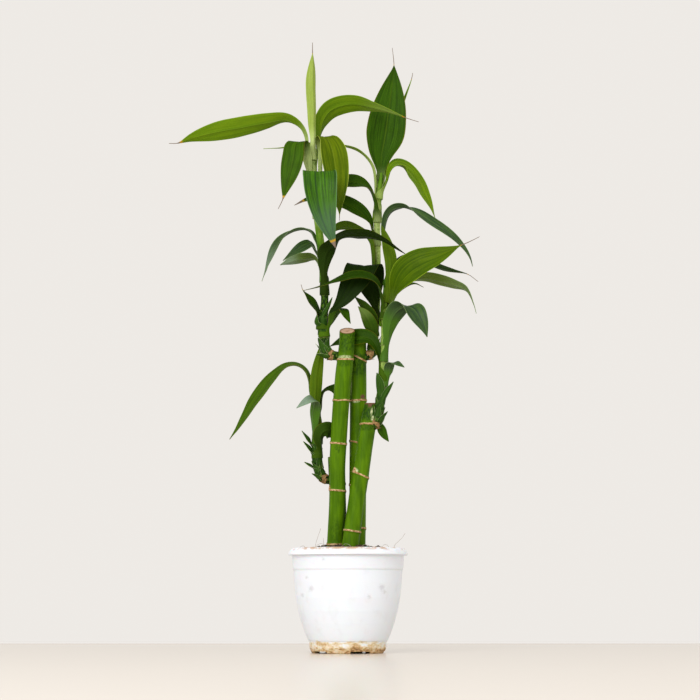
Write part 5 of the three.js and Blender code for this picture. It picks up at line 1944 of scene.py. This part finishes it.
    def root_hairs(self) -> bpy.types.Object:
        """Lays thin closed tubes along the hairs, by a node tree."""
        tree, given = start_tree("grow_hairs", {"Radius": "Float"})
        line = add_node(tree, "GeometryNodeMeshToCurve", {"Mesh": given["Geometry"]})
        values = {"Resolution": self.hair_sides, "Radius": given["Radius"]}
        ring = add_node(tree, "GeometryNodeCurvePrimitiveCircle", values).outputs["Curve"]
        values = {"Fill Caps": True, "Curve": line.outputs["Curve"], "Profile Curve": ring}
        tube = add_node(tree, "GeometryNodeCurveToMesh", values).outputs["Mesh"]
        real = add_node(tree, "GeometryNodeRealizeInstances", {"Geometry": tube})
        values = {"Geometry": real.outputs["Geometry"]}
        values["Material"] = self.finishes()["root_hair_dry"].material()
        dressed = add_node(tree, "GeometryNodeSetMaterial", values).outputs["Geometry"]
        add_node(tree, "NodeGroupOutput", {"Geometry": dressed})
        points, edges = [], []
        for hair in self.hairs:
            route = Route(sight(hair)).at(np.linspace(0, 1, self.hair_rows))
            edges += [(len(points) + i, len(points) + i + 1) for i in range(len(route) - 1)]
            points += (route * MM).tolist()
        mesh = bpy.data.meshes.new("root_hairs")
        mesh.from_pydata(points, edges, [])
        return self.grow("root_hairs", mesh, tree, {"Radius": self.hair_radius * MM})

    def build(self) -> list[bpy.types.Object]:
        """Makes the bed, its crumbs and the hairs."""
        finish = self.finishes()["soil_peat_bed"]
        bed = self.make("soil_bed", [self.bed()], [finish], ["soil"], "soil")
        return [bed, self.strew(bed), self.root_hairs()]


@dataclass
class Cane(Piece):
    """Cut cane with weathered node rings and sleeping buds.

    Attributes:
        name: the solid that it stands for.
        plan: its stations, rings and cut.
        buds: height, direction and size of the sleeping buds on its rings.
        marks: darker, paler and dried patches of its skin, with painted shade among the darker
            ones.
        bump: half-width, half-height and height of a bud whose size is one.
        sides: faces round it.
        step: height of a row of faces.
        ridge: how far a ring stands out, and half its height at its top and its foot.
        wander: how far a ring's line strays, and over what length.
        lip: how far the edge of the old leaf's scar stands out, where, and how thick it is.
        stretch: least distance of two rings between which the rows lie level again.
        furrows: height and number of the two sets of furrows in the skin.
        bevel: height and width of the worn edge of the cut.
        wood: rings of faces that the cut top has.
        dish: how far its middle sinks.
        finish: the skin's finish.
    """

    name: str
    plan: CanePlan
    buds: tuple[Point, ...] = ()
    marks: tuple[Mark, ...] = ()
    bump: Point = (0.62, 0.85, 0.32)
    sides: int = 64
    step: float = 0.8
    ridge: Point = (0.6, 0.6, 1.4)
    wander: Point = (0.35, 2.4)
    lip: Point = (0.18, 0.9, 0.35)
    stretch: float = 20.0
    furrows: tuple[Point, ...] = ((0.06, 11), (0.05, 17))
    bevel: Point = (0.7, 0.3)
    wood: int = 6
    dish: float = 0.5
    finish: StemFinish = StemFinish(
        "cane_living_bark", 0.45, green="#436803", light="#587f06", shade_green="#305002"
    )

    def slopes(self, foot: float, top: float) -> list[Point]:
        """How its rows tilt.

        Args:
            foot: height of its lowest row.
            top: height of its cut.

        Returns:
            Heights, with the slopes to the right and to the back there.
        """
        marks = [(foot, 0.0, 0.0)]
        rings = self.plan.rings
        for (z, right, back), after in zip(rings, [*rings[1:], (top, 0, 0)]):
            marks += [(z - self.ridge[2], right, back), (z + self.ridge[2], right, back)]
            if after[0] - z > self.stretch:
                marks.append((z + (after[0] - z) / 2, 0.0, 0.0))
        return [*marks, (top, *self.plan.cut)]

    def node_rings(self, z: float) -> tuple[np.ndarray, np.ndarray]:
        """What its node rings do at a height.

        Args:
            z: the height.

        Returns:
            How far the skin stands out, as a part of the ridge, and how tan it is.
        """
        _, cos, sin = circle(self.sides)
        out, tan = np.zeros(self.sides), np.zeros(self.sides)
        rise, middle, thick = self.lip
        for ring, *_ in self.plan.rings:
            place = np.stack([cos * 3, sin * 3, np.full_like(cos, ring)], 1)
            off = np.abs(z + self.wander[0] * rough(place, self.wander[1]) - ring)
            lift = ease(off, self.ridge[2] + 0.4, self.ridge[1] - 0.3)
            out = np.maximum(out, lift + rise * np.exp(-(((off - middle) / thick) ** 2)))
            tan = np.maximum(tan, ease(off, 1.0, 0.5))
        return out, tan

    def away(self, radius: float, side: float) -> np.ndarray:
        """How far each point of a row is from a direction, along the skin."""
        turn = circle(self.sides)[0] - math.radians(side)
        return np.angle(np.exp(1j * turn)) * radius

    def swell(self, bud: Point, z: float, radius: float) -> np.ndarray:
        """How high a sleeping bud stands on a row.

        Args:
            bud: its height, direction and size.
            z: the row's height.
            radius: the cane's radius there.

        Returns:
            Numbers from zero to one round the row.
        """
        height, side, size = bud
        wide = self.away(radius, side) / (self.bump[0] * size)
        tall = (z - height) / (self.bump[1] * size)
        return np.exp(-(wide**2) - tall**2)

    def stains(self, kind: str, z: float, radius: float) -> np.ndarray:
        """How strong the patches of a kind, painted shade among the darker ones, are on a row.

        Args:
            kind: the value that they change.
            z: the row's height.
            radius: the cane's radius there.

        Returns:
            Numbers from zero to one round the row.
        """
        stained = np.zeros(self.sides)
        for mark in self.marks:
            if mark.kind == kind:
                turn = self.away(radius, mark.side)
                away = (turn / mark.wide) ** 2 + ((z - mark.height) / mark.tall) ** 2
                stained = np.maximum(stained, mark.amount * ease(away, 1.6, 0.4))
        return stained

    def build(self) -> bpy.types.Object:
        """Makes the cane and dresses it."""
        route = Route(sight(self.plan.axis))
        stations = [row[1] for row in self.plan.axis]
        radii = [row[3] for row in self.plan.axis]
        foot, top = stations[0], stations[-1]
        heights = np.linspace(foot, top, int((top - foot) / self.step) + 1)
        places, rights, backs = zip(*self.slopes(foot, top))
        angles, cos, sin = circle(self.sides)
        (rise, number), (finer, more) = self.furrows
        rows = []
        skins = {kind: [] for kind in ("ring", "deep", "pale", "dried")}
        for z in heights:
            centre = route.at(route.at_height(float(z)))[0]
            base = float(np.interp(z, stations, radii))
            out, tan = self.node_rings(z)
            radius = base + self.ridge[0] * out
            coarse = rise * np.sin(angles * number + z * 0.02)
            radius = radius + (coarse + finer * np.sin(angles * more + 1 + z * 0.03))
            for bud in self.buds:
                swell = self.swell(bud, z, base)
                radius = radius + self.bump[2] * bud[2] * swell
                tan = np.maximum(tan, 1.15 * swell)
            skins["ring"].append(tan)
            for kind in ("deep", "pale", "dried"):
                skins[kind].append(self.stains(kind, z, base))
            tip = ease(z, top - self.bevel[0], top) * self.bevel[1]
            x, y = (radius - tip) * cos, (radius - tip) * sin
            right, back = np.interp(z, places, rights), np.interp(z, places, backs)
            level = centre[2] + right * x + back * y
            rows.append(np.stack([centre[0] + x, centre[1] + y, level], 1))
        shell = skin(np.array(rows), (1, self.wood), self.dish)
        count, side_count = len(shell.points), len(heights) * self.sides
        for kind, values in skins.items():
            shell.values[kind] = np.zeros(count)
            shell.values[kind][:side_count] = np.concatenate(values)
        # The last row is nearly all cut, which draws the edge between skin and wood
        cut = np.where(np.arange(count) > side_count, 1.0, 0.0)
        cut[side_count - self.sides : side_count] = 0.9
        shell.values["cut"] = cut
        name = self.name.replace("cane", "cut_cane")
        return self.make(name, [shell], [self.finish], [self.name], "cane")


class Stem:
    """A shoot's axis, and where leaves sit on it."""

    def __init__(self, axis: tuple[Point, ...]) -> None:
        """Draws the axis.

        Args:
            axis: x, z, depth and radius of its stations in the front view.
        """
        self.route = Route(sight(axis))
        self.heights = [row[1] for row in axis]
        self.radii = [row[3] for row in axis]

    def at(self, height: float) -> tuple[np.ndarray, float]:
        """Axis point and radius where it shows at a height.

        Args:
            height: in the front view.

        Returns:
            The point and the radius.
        """
        count = len(self.heights) - 1
        below = sum(1 for z in self.heights if z <= height) - 1
        segment = max(0, min(count - 1, below))
        place = self.route.at_height(height, segment / count, (segment + 1) / count)
        return self.route.at(place)[0], float(np.interp(height, self.heights, self.radii))


@dataclass
class Blade:
    """One leaf's surface: a base that clasps the shoot, a channelled neck and a pointed blade.

    Attributes:
        plan: its stations.
        stem: the shoot that it grows from.
        clearance: gap between its base and the shoot.
        row: length of a row of faces.
        columns: faces across it.
        sheath: height of the base that clasps the shoot.
        clasp: half-angle of its faces in the solid, which sets the base's radius.
        hug: half-angle of the base.
        neck_wrap: half-angle of the neck.
        rolled_wrap: half-angle of a blade that is still rolled up.
        blade_wrap: half-angle of a blade where it is widest.
        tip_wrap: half-angle of its tip.
        neck: most width of the neck, its part of the blade's width, the part of the leaf that it
            takes up, and the least part over which the blade widens.
        powers: how the blade widens and how it closes.
        tip: width of its tip.
        wave: height of the margin's waves as a part of half the width, and their number.
        ripple: height of the finer waves in the same way, and their length.
        groove: depth and half-width of the channel over the midrib.
        skin: thickness between the ribs, what the midrib adds, the midrib's half-width, and the
            base's thickness.
        span: part of the length over which a bend is measured.
    """

    SMOOTH = (7, 2.6)

    plan: LeafPlan
    stem: Stem
    clearance: float = 0.35
    row: float = 1.9
    columns: int = 16
    sheath: float = 7.0
    clasp: float = 50.0
    hug: float = 138.0
    neck_wrap: float = 42.0
    rolled_wrap: float = 80.0
    blade_wrap: float = 17.0
    tip_wrap: float = 10.0
    neck: Point = (5.6, 0.55, 0.07, 0.1)
    powers: Point = (1.25, 2.1, 1.15)
    tip: float = 0.6
    wave: Point = (0.035, 2.75)
    ripple: Point = (0.012, 23)
    groove: Point = (0.42, 0.9)
    skin: Point = (0.42, 0.36, 1.3, 0.8)
    span: float = 0.02

    def stations(self) -> tuple[np.ndarray, float]:
        """Where the midrib runs.

        Returns:
            The stations, and the radius of the clasping base.
        """
        plan = self.plan
        run = sight([*plan.midrib, *plan.thread])
        if plan.free:
            return run, (plan.neck or self.neck[0]) / 2 / math.radians(self.neck_wrap)
        seats = [self.stem.at(plan.height), self.stem.at(plan.height + self.sheath)]
        spans = 4 if plan.wide > WIDE_LEAF else 2
        stem = max(radius for _, radius in seats)
        base = (stem + self.clearance) / math.cos(math.radians(self.clasp / spans))
        rise = unit(seats[1][0] - seats[0][0])
        side = math.radians(plan.side)
        outward = square_to(np.array([math.cos(side), math.sin(side), 0.0]), rise)
        feet = [centre + outward * base for centre, _ in seats]
        return np.vstack([feet, run]), base

    def frames(self, route: Route, places: np.ndarray) -> tuple[np.ndarray, np.ndarray]:
        """Directions along and across the blade.

        Args:
            route: the midrib.
            places: places on it.

        Returns:
            Forward and across at each place.
        """
        plan = self.plan
        reach = route.points[-1] - route.points[0]
        lean = math.atan2(reach[1], reach[0])
        if plan.heading is not None:
            lean = math.radians(plan.heading)
        side = math.radians(plan.side)
        level = np.array([-math.sin(lean), math.cos(lean), 0.0])
        clasping = np.array([-math.sin(side), math.cos(side), 0.0])
        turn = 1 if math.cos(lean) >= 0 else -1
        seats = 0 if plan.free else 2
        twists = [0.0] * seats + [row[3] for row in (*plan.midrib, *plan.thread)]
        acrosses = []
        for i, twist in enumerate(twists):
            forward = route.along(i / route.count)[0]
            flat = square_to(clasping if i < seats else level, forward)
            angle = math.radians(twist) * turn
            acrosses.append(flat * math.cos(angle) + np.cross(forward, flat) * math.sin(angle))
        forward = route.along(places)
        spots = places * route.count
        index = np.minimum(np.floor(spots).astype(int), route.count - 1)
        weight = (spots - index)[:, None]
        table = np.array(acrosses)
        across = square_to(table[index] * (1 - weight) + table[index + 1] * weight, forward)
        rows, spread = self.SMOOTH
        kernel = np.exp(-0.5 * (np.arange(-rows, rows + 1) / spread) ** 2)
        kernel /= kernel.sum()
        padded = np.vstack([across[:1]] * rows + [across] + [across[-1:]] * rows)
        smooth = np.stack([np.convolve(padded[:, k], kernel, "valid") for k in range(3)], axis=1)
        return forward, square_to(smooth, forward)

    def section(
        self, parts: np.ndarray, base: float, sheath: float, dry: float
    ) -> tuple[np.ndarray, np.ndarray]:
        """Width and cupping along the leaf.

        Args:
            parts: parts of its length.
            base: radius of the clasping base.
            sheath: part of the length that clasps the shoot.
            dry: part of the length before a thread.

        Returns:
            Radius and half-angle of the cupped section at each part.
        """
        plan = self.plan
        neck = plan.neck or min(self.neck[0], self.neck[1] * plan.wide)
        neck_end = sheath + self.neck[2]
        slim = max(neck_end, plan.slim)
        peak = max(plan.peak * dry, slim + self.neck[3])
        rise = np.clip((parts - slim) / (peak - slim), 0, 1)
        growing = neck + (plan.wide - neck) * np.sin(np.pi / 2 * rise) ** self.powers[0]
        fall = np.clip((parts - peak) / (dry - peak), 0, 1)
        closing = (1 - fall ** self.powers[1]) ** self.powers[2]
        closing = self.tip + (plan.wide - self.tip) * closing
        half = np.where(parts < peak, growing, closing) / 2
        half = half * (1 - 0.45 * ease(parts, dry, 1.0 + 1e-6))
        blade = self.rolled_wrap if plan.rolled else self.blade_wrap
        wraps = [self.neck_wrap, self.neck_wrap, blade, self.tip_wrap]
        wrap = np.interp(parts, [0, slim, peak, 1], wraps)
        hug = self.neck_wrap if plan.free else self.hug
        wrap = wrap + (hug - self.neck_wrap) * ease(parts, neck_end, sheath * 0.25)
        wrap = np.radians(wrap)
        blended = half / np.radians(self.neck_wrap)
        hugging = base + (blended - base) * ease(parts, sheath * 0.8, neck_end)
        radius = np.where(parts < neck_end, hugging, half / wrap)
        return radius, wrap

    def shell(self, finish: int = 0) -> Shell:
        """The leaf's closed surface.

        Args:
            finish: number of its material in the piece.

        Returns:
            The shell, with its flat coordinates and the values that its finish reads.
        """
        plan = self.plan
        stations, base = self.stations()
        route = Route(stations)
        total = route.lengths[-1]
        dry = route.part_at(route.count - len(plan.thread)) if plan.thread else 1.0
        sheath = 0.0 if plan.free else route.part_at(1)
        rows = max(14, int(total / self.row))
        parts = np.linspace(0, 1, rows + 1)
        places = route.paced(parts)
        centre = route.at(places)
        forward, across = self.frames(route, places)
        normal = np.cross(forward, across)
        radius, wrap = self.section(parts, base, sheath, dry)
        half = radius * wrap
        ahead = route.along(route.paced(np.minimum(parts + self.span, 1)))
        behind = route.along(route.paced(np.maximum(parts - self.span, 0)))
        sharp = np.sum((ahead - behind) * normal, axis=1) / (2 * self.span * total)
        flatter = 1 / (1 + (sharp * half) ** 2)
        wrap = wrap * (1 + (flatter - 1) * ease(parts, sheath, sheath + self.neck[2]))
        radius = half / wrap
        seed = sum(map(ord, plan.shoot)) + plan.height
        u = np.linspace(-1, 1, self.columns + 1)
        # The rows of faces lie closer at the margins, where the blade is thin
        u = np.sign(u) * np.abs(u) ** 0.9
        angle = wrap[:, None] * u
        free = ease(parts, sheath, sheath + 0.12)
        lift = self.wave[0] * half * np.sin(2 * np.pi * self.wave[1] * parts) * free
        turns = 2 * np.pi * total / self.ripple[1] * parts
        ripple = self.ripple[0] * half * np.sin(turns + seed) * free
        bend = lift[:, None] * u**2 * np.sign(u) + ripple[:, None] * np.abs(u) ** 3
        deep, broad = self.groove
        groove = deep * free[:, None] * np.exp(-((u * half[:, None] / broad) ** 2))
        groove = groove * ease(half, 1.2, 3.2)[:, None]
        height = radius[:, None] * (1 - np.cos(angle)) + bend - groove
        top = (
            centre[:, None]
            + across[:, None] * (radius[:, None] * np.sin(angle))[..., None]
            + normal[:, None] * height[..., None]
        )
        cos, sin = np.cos(angle)[..., None], np.sin(angle)[..., None]
        inward = normal[:, None] * cos - across[:, None] * sin
        thin, more, broad, foot = self.skin
        rib = np.exp(-((u * half[:, None] / broad) ** 2)) * ease(parts, 1.0, 0.75)[:, None]
        edge = 1 - 0.45 * np.abs(u) ** 6
        thick = (thin + more * rib) * edge
        thick = thick + (foot - thick) * ease(parts, sheath * 1.6 + 0.01, 0.0)[:, None] * edge
        shell = slab(top, top - inward * thick[..., None])
        shell.finish = finish
        self.mark(shell, parts, u, dry, total)
        return shell

    def mark(
        self, shell: Shell, parts: np.ndarray, u: np.ndarray, dry: float, total: float
    ) -> None:
        """Lays the leaf's flat coordinates and the values that its finish reads on its shell.

        Args:
            shell: the leaf's closed surface.
            parts: part of the length of each row.
            u: place across of each column.
            dry: part of the length before a thread.
            total: length of the leaf.
        """
        plan = self.plan
        count = len(parts) * len(u)
        along, across = np.repeat(parts, len(u)), np.tile((u + 1) / 2, len(parts))
        start = min(dry, 1 - plan.brown)
        dried = ease(along, start - (0.05 if plan.brown > 0 else 0.004), start + 0.01)
        shell.values = {
            "dry": np.tile(dried, 2),
            "under": np.concatenate([np.zeros(count), np.ones(count)]),
            "tint": np.full(2 * count, plan.tint),
            "fade": np.full(2 * count, plan.fade),
            "light": np.full(2 * count, plan.light),
            "stalk": np.tile(ease(along, plan.stalk + 0.1, plan.stalk - 0.06), 2),
        }
        flat = np.stack([across, along], axis=1)
        real = np.stack([across * plan.wide, along * total], axis=1) * MM
        shell.uvs = {"blade": np.tile(flat, (2, 1)), "veins": np.tile(real, (2, 1))}


@dataclass
class SideShoot(Piece):
    """Leafy side shoot: the tube with its node scars, scale leaves and papery bud scales.

    Attributes:
        key: its letter.
        sides: faces round it.
        step: length of a row of faces.
        scar: how far a leaf's scar stands out, and its half-height.
        folds: height and number of the folds at the foot, and how they wind.
        ribs: height and number of the fine ribs.
        foot: from where and to where along the shoot the folds grow.
        papers: how many bud scales stand round its foot.
        sway: how far a bud scale turns away from its even place at most.
        lengths: least and greatest length of a bud scale, before its kind changes it.
        spreads: least and greatest half-angle that one takes up.
        finish: the skin's finish.
        dark_to: height up to which each shoot is dark, by its letter.
        greens: how many green scales wrap that part.
    """

    GOLDEN = 137.5

    # Numbers of its finishes after the skin's
    PAPER, TIP, GREEN = 1, 2, 3

    key: str
    sides: int = 32
    step: float = 0.8
    scar: Point = (0.14, 0.5)
    folds: Point = (0.16, 7, 0.35)
    ribs: Point = (0.04, 9)
    foot: Point = (26.0, 6.0)
    papers: int = 5
    sway: float = 14.0
    lengths: Point = (5.0, 8.0)
    spreads: Point = (40, 62)
    finish: StemFinish = StemFinish(
        "shoot_young_bark",
        0.42,
        green="#4f7c14",
        light="#7d9c34",
        shade_green="#32560c",
        ring="#8c9a4c",
        ring_edge="#55682a",
        deep="#142c06",
        pale="#b4c878",
    )
    dark_to: dict[str, float] = field(
        default_factory=lambda: {"a": 288.0, "b": 290.0, "c": 236.0, "d": 206.0}
    )
    greens: dict[str, int] = field(default_factory=lambda: {"a": 12, "b": 7, "c": 12, "d": 18})

    def tube(self, stem: Stem) -> Shell:
        """The shoot's skin, with a scar under each leaf.

        Args:
            stem: the shoot's axis.

        Returns:
            The closed shell.
        """
        count = stem.route.count
        total = stem.route.lengths[-1]
        parts = np.linspace(0, 1, int(total / self.step) + 1)
        places = stem.route.paced(parts)
        centre, forward = stem.route.at(places), stem.route.along(places)
        right = unit(np.cross(np.array([0.0, 1.0, 0.0]), forward))
        up = np.cross(forward, right)
        radius = np.interp(places * count, np.arange(count + 1), stem.radii)
        kernel = np.ones(5) / 5
        radius = np.convolve(np.pad(radius, 2, "edge"), kernel, "valid")
        angles, cos, sin = circle(self.sides)
        scars = np.zeros(len(parts))
        for leaf in LEAVES.values():
            if leaf.shoot == self.key:
                away = np.abs(centre[:, 2] - stem.at(leaf.height)[0][2] + 0.6)
                scars = np.maximum(scars, np.exp(-((away / self.scar[1]) ** 2)))
        radius = radius + self.scar[0] * scars
        foot = ease(parts * total, *self.foot)
        high, number, wind = self.folds
        folds = high * np.sin(angles[None] * number + parts[:, None] * total * wind) * foot[:, None]
        ribs = self.ribs[0] * np.sin(angles[None] * self.ribs[1])
        reach = radius[:, None] + folds + ribs
        rings = (
            centre[:, None]
            + right[:, None] * (reach * cos)[..., None]
            + up[:, None] * (reach * sin)[..., None]
        )
        shell = skin(rings)
        for kind in ("ring", "deep", "pale", "dried", "cut"):
            shell.values[kind] = np.zeros(len(shell.points))
        size = len(parts) * self.sides
        shell.values["ring"][:size] = np.repeat(0.75 * scars, self.sides)
        seen = EYE_HEIGHT + (centre[:, 2] - EYE_HEIGHT) / (1 + centre[:, 1] / EYE_DISTANCE)
        for kind, lowest, highest, amount in BANDS[self.key]:
            band = ease(seen, lowest - 12, lowest + 6) * ease(seen, highest + 12, highest - 6)
            values = shell.values[kind][:size]
            np.maximum(values, np.repeat(band * amount, self.sides), out=values)
        return shell

    def bud_scales(self, stem: Stem) -> list[Shell]:
        """Papery scales of the bud that the shoot came from, and green ones above them.

        Args:
            stem: the shoot's axis.

        Returns:
            Their closed shells.
        """
        draw = random.Random(SEED + ord(self.key))
        shells = []
        last = stem.route.count
        high = stem.route.at_height(self.dark_to[self.key] - 4) * last
        greens = self.greens[self.key]
        spots = [(0.9 + 0.5 * i / self.papers, self.PAPER) for i in range(self.papers)]
        spots += [(1.6 + (high - 1.6) * i / greens, self.GREEN) for i in range(greens)]
        for i, (spot, finish) in enumerate(spots):
            centre = stem.route.at(spot / last)[0]
            forward = stem.route.along(spot / last)[0]
            radius = float(np.interp(spot, range(last + 1), stem.radii))
            turn = math.radians(self.GOLDEN * i + draw.uniform(-self.sway, self.sway))
            first = square_to(np.array([0.0, 1.0, 0.0]), forward)
            out = first * math.cos(turn) + np.cross(forward, first) * math.sin(turn)
            shells.append(self.paper(centre, forward, out, radius, draw, finish))
        return shells

    def paper(
        self,
        centre: np.ndarray,
        forward: np.ndarray,
        out: np.ndarray,
        radius: float,
        draw: random.Random,
        finish: int,
    ) -> Shell:
        """One pointed scale that hugs the shoot.

        Args:
            centre: point on the axis at its foot.
            forward: the shoot's direction.
            out: the scale's direction from the axis.
            radius: the shoot's radius there.
            draw: source of random numbers.
            finish: number of its material in the piece.

        Returns:
            Its closed shell.
        """
        length, spread = draw.uniform(*self.lengths), math.radians(draw.uniform(*self.spreads))
        length *= 0.7 if finish == self.PAPER else 1.4
        side = np.cross(forward, out)
        steps = np.linspace(0, 1, 12)
        u = np.linspace(-1, 1, 9)
        angle = spread * u[None] * ((1 - steps**1.6) * 0.96 + 0.04)[:, None]
        flare = 1.1 * steps**3
        reach = (radius + 0.2 + flare)[:, None]
        ray = out * np.cos(angle)[..., None] + side * np.sin(angle)[..., None]
        inner = centre + forward * (length * steps)[:, None, None] + ray * reach[..., None]
        outer = inner + ray * 0.3
        shell = slab(inner, outer)
        shell.finish = finish
        across, along = np.meshgrid((u + 1) / 2, steps)
        flat = np.tile(np.stack([across.ravel(), along.ravel()], axis=1), (2, 1))
        real = flat * (2 * radius * spread * MM, length * MM)
        shell.uvs = {"blade": flat, "veins": real}
        return shell

    def build(self, stem: Stem) -> bpy.types.Object:
        """Makes the shoot and dresses it.

        Args:
            stem: the shoot's axis.

        Returns:
            The object.
        """
        shells = [self.tube(stem), *self.bud_scales(stem)]
        for plan in SCALES:
            if plan.shoot == self.key:
                blade = Blade(plan, stem, clearance=-0.4, row=0.9, columns=10, hug=60.0)
                shells.append(blade.shell(self.TIP if plan.free else self.GREEN))
        finishes = [self.finish, Tone.DRY.value, Tone.DARK.value, Tone.SCALE.value]
        name = f"side_shoot_{self.key}"
        return self.make(name, shells, finishes, [f"shoot_{self.key}"], "shoot")


@dataclass
class Foliage(Piece):
    """All the leaves, each with its own blade and finish.

    Attributes:
        columns: faces across a leaf.
        narrow_columns: faces across a narrow one.
    """

    columns: int = 16
    narrow_columns: int = 12

    def build(self, stems: dict[str, Stem]) -> list[bpy.types.Object]:
        """Makes the leaves.

        Args:
            stems: the shoots' axes by letter.

        Returns:
            One object for each leaf.
        """
        pieces = []
        for node, plan in LEAVES.items():
            columns = self.columns if plan.wide > WIDE_LEAF else self.narrow_columns
            shell = Blade(plan, stems[plan.shoot], columns=columns).shell()
            name = node.replace("leaf", "blade")
            pieces.append(self.make(name, [shell], [plan.tone.value], [node], plan.slot))
        return pieces


@dataclass
class Studio:
    """Pale table top and surroundings, soft light and the photograph's camera.

    Attributes:
        pitch: how far the camera looks up.
        focal: the photograph's focal length in its pixels.
        pixels: the photograph's width.
        aside: how far the camera stands to the right of the pot's axis.
        top: colour of the table.
        edges: near edge, far edge and half-width of the table, in metres.
        air: colour and strength of the light from all round.
        aim: the point that the lights face, in metres.
        lights: name, place in metres, width in metres and watts of each soft light.
    """

    pitch: float = 6.475
    focal: float = 2181.7
    pixels: float = 700.0
    aside: float = 1.82
    top: str = "#d8cfc4"
    edges: Point = (-6.0, 0.42, 4.0)
    air: tuple[str, float] = ("#f7f3ee", 0.92)
    aim: Point = (0, 0, 0.25)
    lights: tuple[tuple[str, Point, float, float], ...] = (
        ("key", (-0.8, -1.9, 1.2), 1.3, 30),
        ("fill", (1.6, -1.7, 0.7), 1.7, 5),
    )

    def camera(self) -> None:
        """Places the camera."""
        data = bpy.data.cameras.new("camera")
        data.sensor_width = 36.0
        data.lens = self.focal / self.pixels * data.sensor_width
        data.clip_start = 0.05
        camera = bpy.data.objects.new("camera", data)
        camera.location = (self.aside * MM, -EYE_DISTANCE * MM, EYE_HEIGHT * MM)
        camera.rotation_euler = (math.radians(90 + self.pitch), 0, 0)
        bpy.context.scene.collection.objects.link(camera)
        bpy.context.scene.camera = camera

    def table(self) -> None:
        """Makes the table top, which ends behind the pot."""
        near, far, wide = self.edges
        points = [(-wide, near, 0), (wide, near, 0), (wide, far, 0), (-wide, far, 0)]
        mesh = bpy.data.meshes.new("studio_table")
        mesh.from_pydata(points, [], [(0, 1, 2, 3)])
        mesh.materials.append(PlainFinish("studio_laminate", 0.22, color=self.top).material())
        table = bpy.data.objects.new("studio_table", mesh)
        bpy.context.scene.collection.objects.link(table)

    def light(self, name: str, place: Point, size: float, power: float) -> None:
        """Adds a soft square light.

        Args:
            name: the light's name.
            place: where it stands, in metres.
            size: its width.
            power: in watts.
        """
        data = bpy.data.lights.new(name, "AREA")
        data.size = size
        data.energy = power
        light = bpy.data.objects.new(name, data)
        light.location = place
        facing = Vector(self.aim) - Vector(place)
        light.rotation_euler = facing.to_track_quat("-Z", "Y").to_euler()
        bpy.context.scene.collection.objects.link(light)

    def build(self) -> None:
        """Sets up the studio."""
        self.camera()
        self.table()
        for light in self.lights:
            self.light(*light)
        scene = bpy.context.scene
        world = bpy.data.worlds.new("studio")
        world.use_nodes = True
        values = dict(zip(("Color", "Strength"), self.air))
        fill(world.node_tree, world.node_tree.nodes["Background"], values)
        scene.world = world
        scene.view_settings.view_transform = "Standard"


def main() -> None:
    """Builds the plant, its pot and the studio, and logs how many faces the pieces have."""
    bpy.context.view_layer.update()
    Studio().build()
    NurseryPot().build()
    log.info("pot")
    for piece in SoilBed().build():
        log.info("%s: %d faces", piece.name, len(piece.data.polygons))
    for name, plan in CANES.items():
        piece = Cane(name, plan, BUDS.get(name, ()), MARKS.get(name, ())).build()
        log.info("%s: %d faces", piece.name, len(piece.data.polygons))
    stems = {key: Stem(axis) for key, axis in SHOOTS.items()}
    for key, stem in stems.items():
        piece = SideShoot(key).build(stem)
        log.info("%s: %d faces", piece.name, len(piece.data.polygons))
    leaves = Foliage().build(stems)
    log.info("%d leaves: %d faces", len(leaves), sum(len(leaf.data.polygons) for leaf in leaves))


if __name__ == "__main__":
    main()
